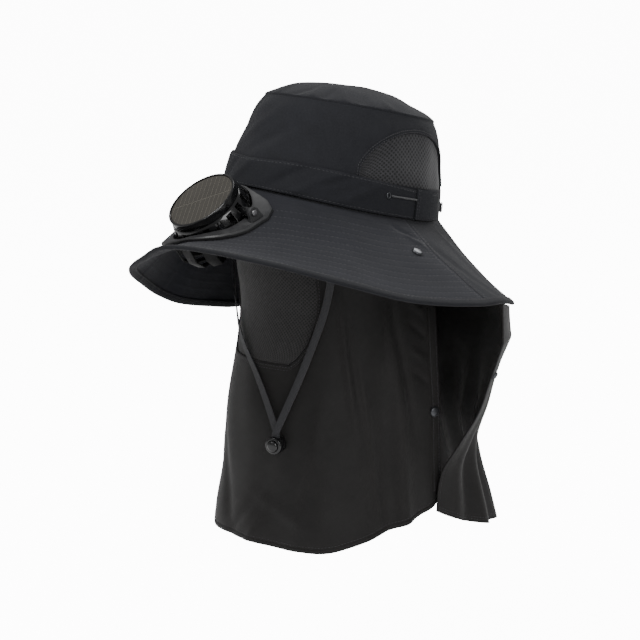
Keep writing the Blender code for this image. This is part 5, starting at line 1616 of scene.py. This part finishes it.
def strap_route():
    def normal_at(azimuth):
        a = radians(azimuth)
        return Vector((sin(a), -cos(a), 0))

    def down(places, side):
        anchor = crown_point(side * STRAP_ANCHOR_AZIMUTH, STRAP_ANCHOR_HEIGHT,
                             -CROWN_CLOTH - 5 * GAP - STRAP_THICKNESS / 2)
        points = [(anchor, normal_at(side * STRAP_ANCHOR_AZIMUTH))]
        lift = STRAP_CLEARANCE + (STRAP_THICKNESS * 1.6 if side > 0 else 0)
        for place in places:
            point = veil_plan(place.azimuth, place.height, place.out + lift)
            points.append((point, normal_at(place.azimuth)))
        return points

    normal = toggle_normal()
    centre = toggle_centre()
    half = STRAP_THICKNESS * 0.9
    bend = []
    for height, depth in ((0.0050, half), (0.0, half), (-0.0040, half)):
        bend.append((centre + Vector((0, 0, height)) + normal * depth, normal))
    for k in range(1, 6):
        a = pi * k / 6
        turn = Vector((0, 0, -half * sin(a))) + normal * (half * cos(a))
        bend.append((centre + Vector((0, 0, -0.0040)) + turn, normal))
    for height, depth in ((-0.0040, -half), (0.0, -half), (0.0050, -half)):
        bend.append((centre + Vector((0, 0, height)) + normal * depth, normal))
    return down(STRAP_PLACES, 1), bend, list(reversed(down(FAR_STRAP_PLACES, -1)))


def smooth_line(points, count):
    ends = [points[0] * 2 - points[1]] + points + [points[-1] * 2 - points[-2]]
    line = []
    for i in range(len(points) - 1):
        a, b, c, d = ends[i:i + 4]
        for k in range(count):
            t = k / count
            line.append(0.5 * ((2 * b) + (c - a) * t + (2 * a - 5 * b + 4 * c - d) * t * t
                               + (3 * b - a - 3 * c + d) * t ** 3))
    line.append(points[-1].copy())
    return line


def strap_look():
    """Ribbed woven tape: a fine herringbone across its width."""
    made, tree, shader = new_material("strap_webbing", (0.040, 0.041, 0.046), 0.7)
    place = add_node(tree, "ShaderNodeUVMap", uv_map="cloth")
    ribs = add_node(tree, "ShaderNodeTexWave", {"Vector": place.outputs[0], "Scale": 260.0,
                                                "Distortion": 1.0, "Detail": 1.0})
    cross = add_node(tree, "ShaderNodeTexWave", {"Vector": place.outputs[0], "Scale": 420.0},
                     bands_direction="Y")
    weave = add_node(tree, "ShaderNodeMath", {0: ribs.outputs["Fac"], 1: cross.outputs["Fac"]},
                     operation="MULTIPLY")
    tree.links.new(colour_mix(tree, weave.outputs[0], (0.009, 0.009, 0.011), (0.040, 0.041, 0.047)),
                   shader.inputs["Base Color"])
    bump = add_node(tree, "ShaderNodeBump", {"Height": weave.outputs[0], "Distance": 0.0002,
                                             "Strength": 0.7})
    tree.links.new(bump.outputs[0], shader.inputs["Normal"])
    shader.inputs["Sheen Weight"].default_value = 0.2
    return made


def make_chin_strap():
    """One tape for the whole loop. Its sides stay upright where it turns in the lock."""
    near, bend, far = strap_route()
    route = near + bend + far
    fine = 8
    places = smooth_line([p for p, n in route], fine)
    normals = smooth_line([n for p, n in route], fine)
    low = (len(near) + 1) * fine
    high = (len(near) + len(bend) - 2) * fine
    last = len(places) - 1
    bend_width = Vector((0, 0, -1)).cross(toggle_normal()).normalized()
    line = []
    for i, place in enumerate(places):
        along = (places[min(last, i + 1)] - places[max(0, i - 1)]).normalized()
        if low <= i <= high:
            width = bend_width
        else:
            width = along.cross(normals[i].normalized()).normalized() * (1 if i < low else -1)
        thick = width.cross(along).normalized()
        line.append((place - thick * STRAP_THICKNESS / 2, thick, width))
    strap = ribbon("chin_strap_tape", line, STRAP_WIDTH, STRAP_THICKNESS * 0.93, strap_look())
    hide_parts("chin_strap")
    length = sum((b[0] - a[0]).length for a, b in zip(line, line[1:]))
    return length


STRAP_LENGTH = make_chin_strap()


def make_toggle():
    """The lock's round body and its domed button."""
    moulded_copy("strap_toggle_body", "strap_lock_body", GLOSS_PLASTIC, 0.0004, 30)
    moulded_copy("strap_toggle_button", "strap_lock_button", GLOSS_PLASTIC, 0.0, 50, body="toggle_button")


make_toggle()

# Neck cape
# The same thin cloth hung under the rear of the brim, round the neck, with narrow hemmed edges and
# soft upright folds, and a small stud near its front edge on each side.
CAPE_CLOTH = 0.0012
CAPE_TOP_AZIMUTH = 104
CAPE_HEM_SIDE = -0.279
CAPE_HEM_REAR = -0.312
CAPE_FOLD_DEPTH = 0.0040
CAPE_FOLDS = 9
CapeSection = namedtuple("CapeSection", "height half_width edge rear flare pinch")
CAPE_SECTIONS = (
    CapeSection(-0.310, 0.106, 0.034, 0.158, 0.019, 1.00),
    CapeSection(-0.285, 0.105, 0.036, 0.151, 0.015, 1.00),
    CapeSection(-0.243, 0.106, 0.039, 0.138, 0.008, 1.00),
    CapeSection(-0.215, 0.117, 0.050, 0.131, 0.000, 1.05),
    CapeSection(-0.185, 0.132, 0.058, 0.130, 0.000, 1.15),
    CapeSection(-0.145, 0.155, 0.050, 0.136, 0.000, 1.30),
    CapeSection(-0.110, 0.175, 0.045, 0.148, 0.000, 1.35),
)


def cape_point(t, height, out=0.0):
    level = max(CAPE_SECTIONS[0].height, min(CAPE_SECTIONS[-1].height, height))
    width, edge, rear, flare, pinch = [table_value(CAPE_SECTIONS, column, level)
                                       for column in CapeSection._fields[1:]]
    a = pi / 2 * max(-1.0, min(1.0, t))
    side = -1 if a > 0 else 1
    x = side * width * abs(sin(a)) ** pinch - flare * sin(2 * a)
    y = edge + (rear - edge) * max(0.0, cos(a)) ** pinch
    normal = Vector((-(rear - edge) * sin(a), width * cos(a), 0)).normalized()
    deep = smooth_step((-0.12 - height) / 0.12) * CAPE_FOLD_DEPTH
    fade = 1 - smooth_step((abs(t) - 0.75) / 0.2)
    return Vector((x, y, height)) + normal * (deep * fade * cos(t * CAPE_FOLDS * pi) + out)


def cape_top(t):
    azimuth = 180 + (180 - CAPE_TOP_AZIMUTH) * t
    shown = azimuth if azimuth <= 180 else azimuth - 360
    place, out, up = edge_frame(shown)
    return place + out * (GAP + BINDING_WIDTH / 2) - up * (BINDING_THICKNESS / 2 + 4 * GAP)


def cape_cloth(t, drop, out=0.0):
    """The cape's outer face, from its sewn top at 0 to its hem at 1."""
    start = cape_top(t)
    hem = CAPE_HEM_REAR + (CAPE_HEM_SIDE - CAPE_HEM_REAR) * abs(t) ** 3
    height = start.z + (hem - start.z) * drop
    first = CAPE_SECTIONS[-1].height
    soft = ripple(Vector((t * 0.20, 0.3, height * 0.45)), 0.030, 0.0022) * smooth_step(drop / 0.25)
    place = cape_point(t, height, out + soft)
    if height > first:
        mix = (start.z - height) / max(1e-6, start.z - first)
        side = start + (cape_point(t, first, out + soft) - start) * mix
        place = Vector((side.x, side.y, height))
    return place


def make_neck_cape():
    shares = spread(-1, 1, 201)
    rows = [[cape_cloth(t, drop) for t in shares] for drop in spread(0, 1, 81)]
    cape, area, wide, tall = sew_sheet("neck_cape_cloth", rows, VEIL_LOOK, CAPE_CLOTH, flip=True, fine=0)
    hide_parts("neck_cape")
    declare_cloth(cape, area)
    lines = []
    for drop in (0.985, 0.975):
        line = line_on(cape_cloth, [(t, drop) for t in spread(-0.98, 0.98, 260)], 0.003)
        lines.append(outward(line, 0.03))
    for side in (1, -1):
        for off in (0.985,):
            line = line_on(cape_cloth, [(side * off, d) for d in spread(0.06, 0.98, 90)], 0.003)
            lines.append(outward(line, 0.03))
    stitch_mesh("cape_stitches", lines, BLACK_THREAD, 0.0020, 0.0030, 0.00045)


make_neck_cape()

# Floor and light
# A plain pale floor and soft white light from above and both sides.
FLOOR_LEVEL = -0.46
SKY_STRENGTH = 0.30
BACKDROP_STRENGTH = 12.0


def seen_white(tree, strength):
    """A strength for light that falls on things, far stronger where the backdrop itself is seen."""
    path = add_node(tree, "ShaderNodeLightPath")
    seen = add_node(tree, "ShaderNodeMath", {0: path.outputs["Is Camera Ray"], 1: BACKDROP_STRENGTH,
                                             2: strength}, operation="MULTIPLY_ADD")
    return seen.outputs[0]


def make_stage():
    bpy.ops.mesh.primitive_plane_add(size=60.0, location=(0, 0, FLOOR_LEVEL))
    ground = bpy.context.object
    ground.name = "studio_floor"
    look, tree, shader = new_material("pale_floor", (0.92, 0.92, 0.92), 0.9)
    shader.inputs["Emission Color"].default_value = (1.0, 1.0, 1.0, 1.0)
    tree.links.new(seen_white(tree, 0.0), shader.inputs["Emission Strength"])
    ground.data.materials.append(look)
    ground.select_set(False)
    world = bpy.data.worlds.new("studio_world")
    world.use_nodes = True
    sky = world.node_tree.nodes["Background"]
    sky.inputs["Color"].default_value = (1.0, 1.0, 1.0, 1.0)
    world.node_tree.links.new(seen_white(world.node_tree, SKY_STRENGTH), sky.inputs["Strength"])
    bpy.context.scene.world = world
    for name, place, size, power in (("key_light", (-0.4, -1.3, 2.2), 1.1, 52.0),
                                     ("fill_light", (2.1, -0.6, 0.9), 1.2, 24.0),
                                     ("back_light", (-0.6, 2.0, 1.9), 1.4, 34.0)):
        data = bpy.data.lights.new(name, "AREA")
        data.size = size
        data.energy = power
        lamp = bpy.data.objects.new(name, data)
        bpy.context.scene.collection.objects.link(lamp)
        way = Vector((0, 0, -0.10)) - Vector(place)
        lamp.rotation_euler = way.to_track_quat("-Z", "Y").to_euler()
        lamp.location = place


make_stage()
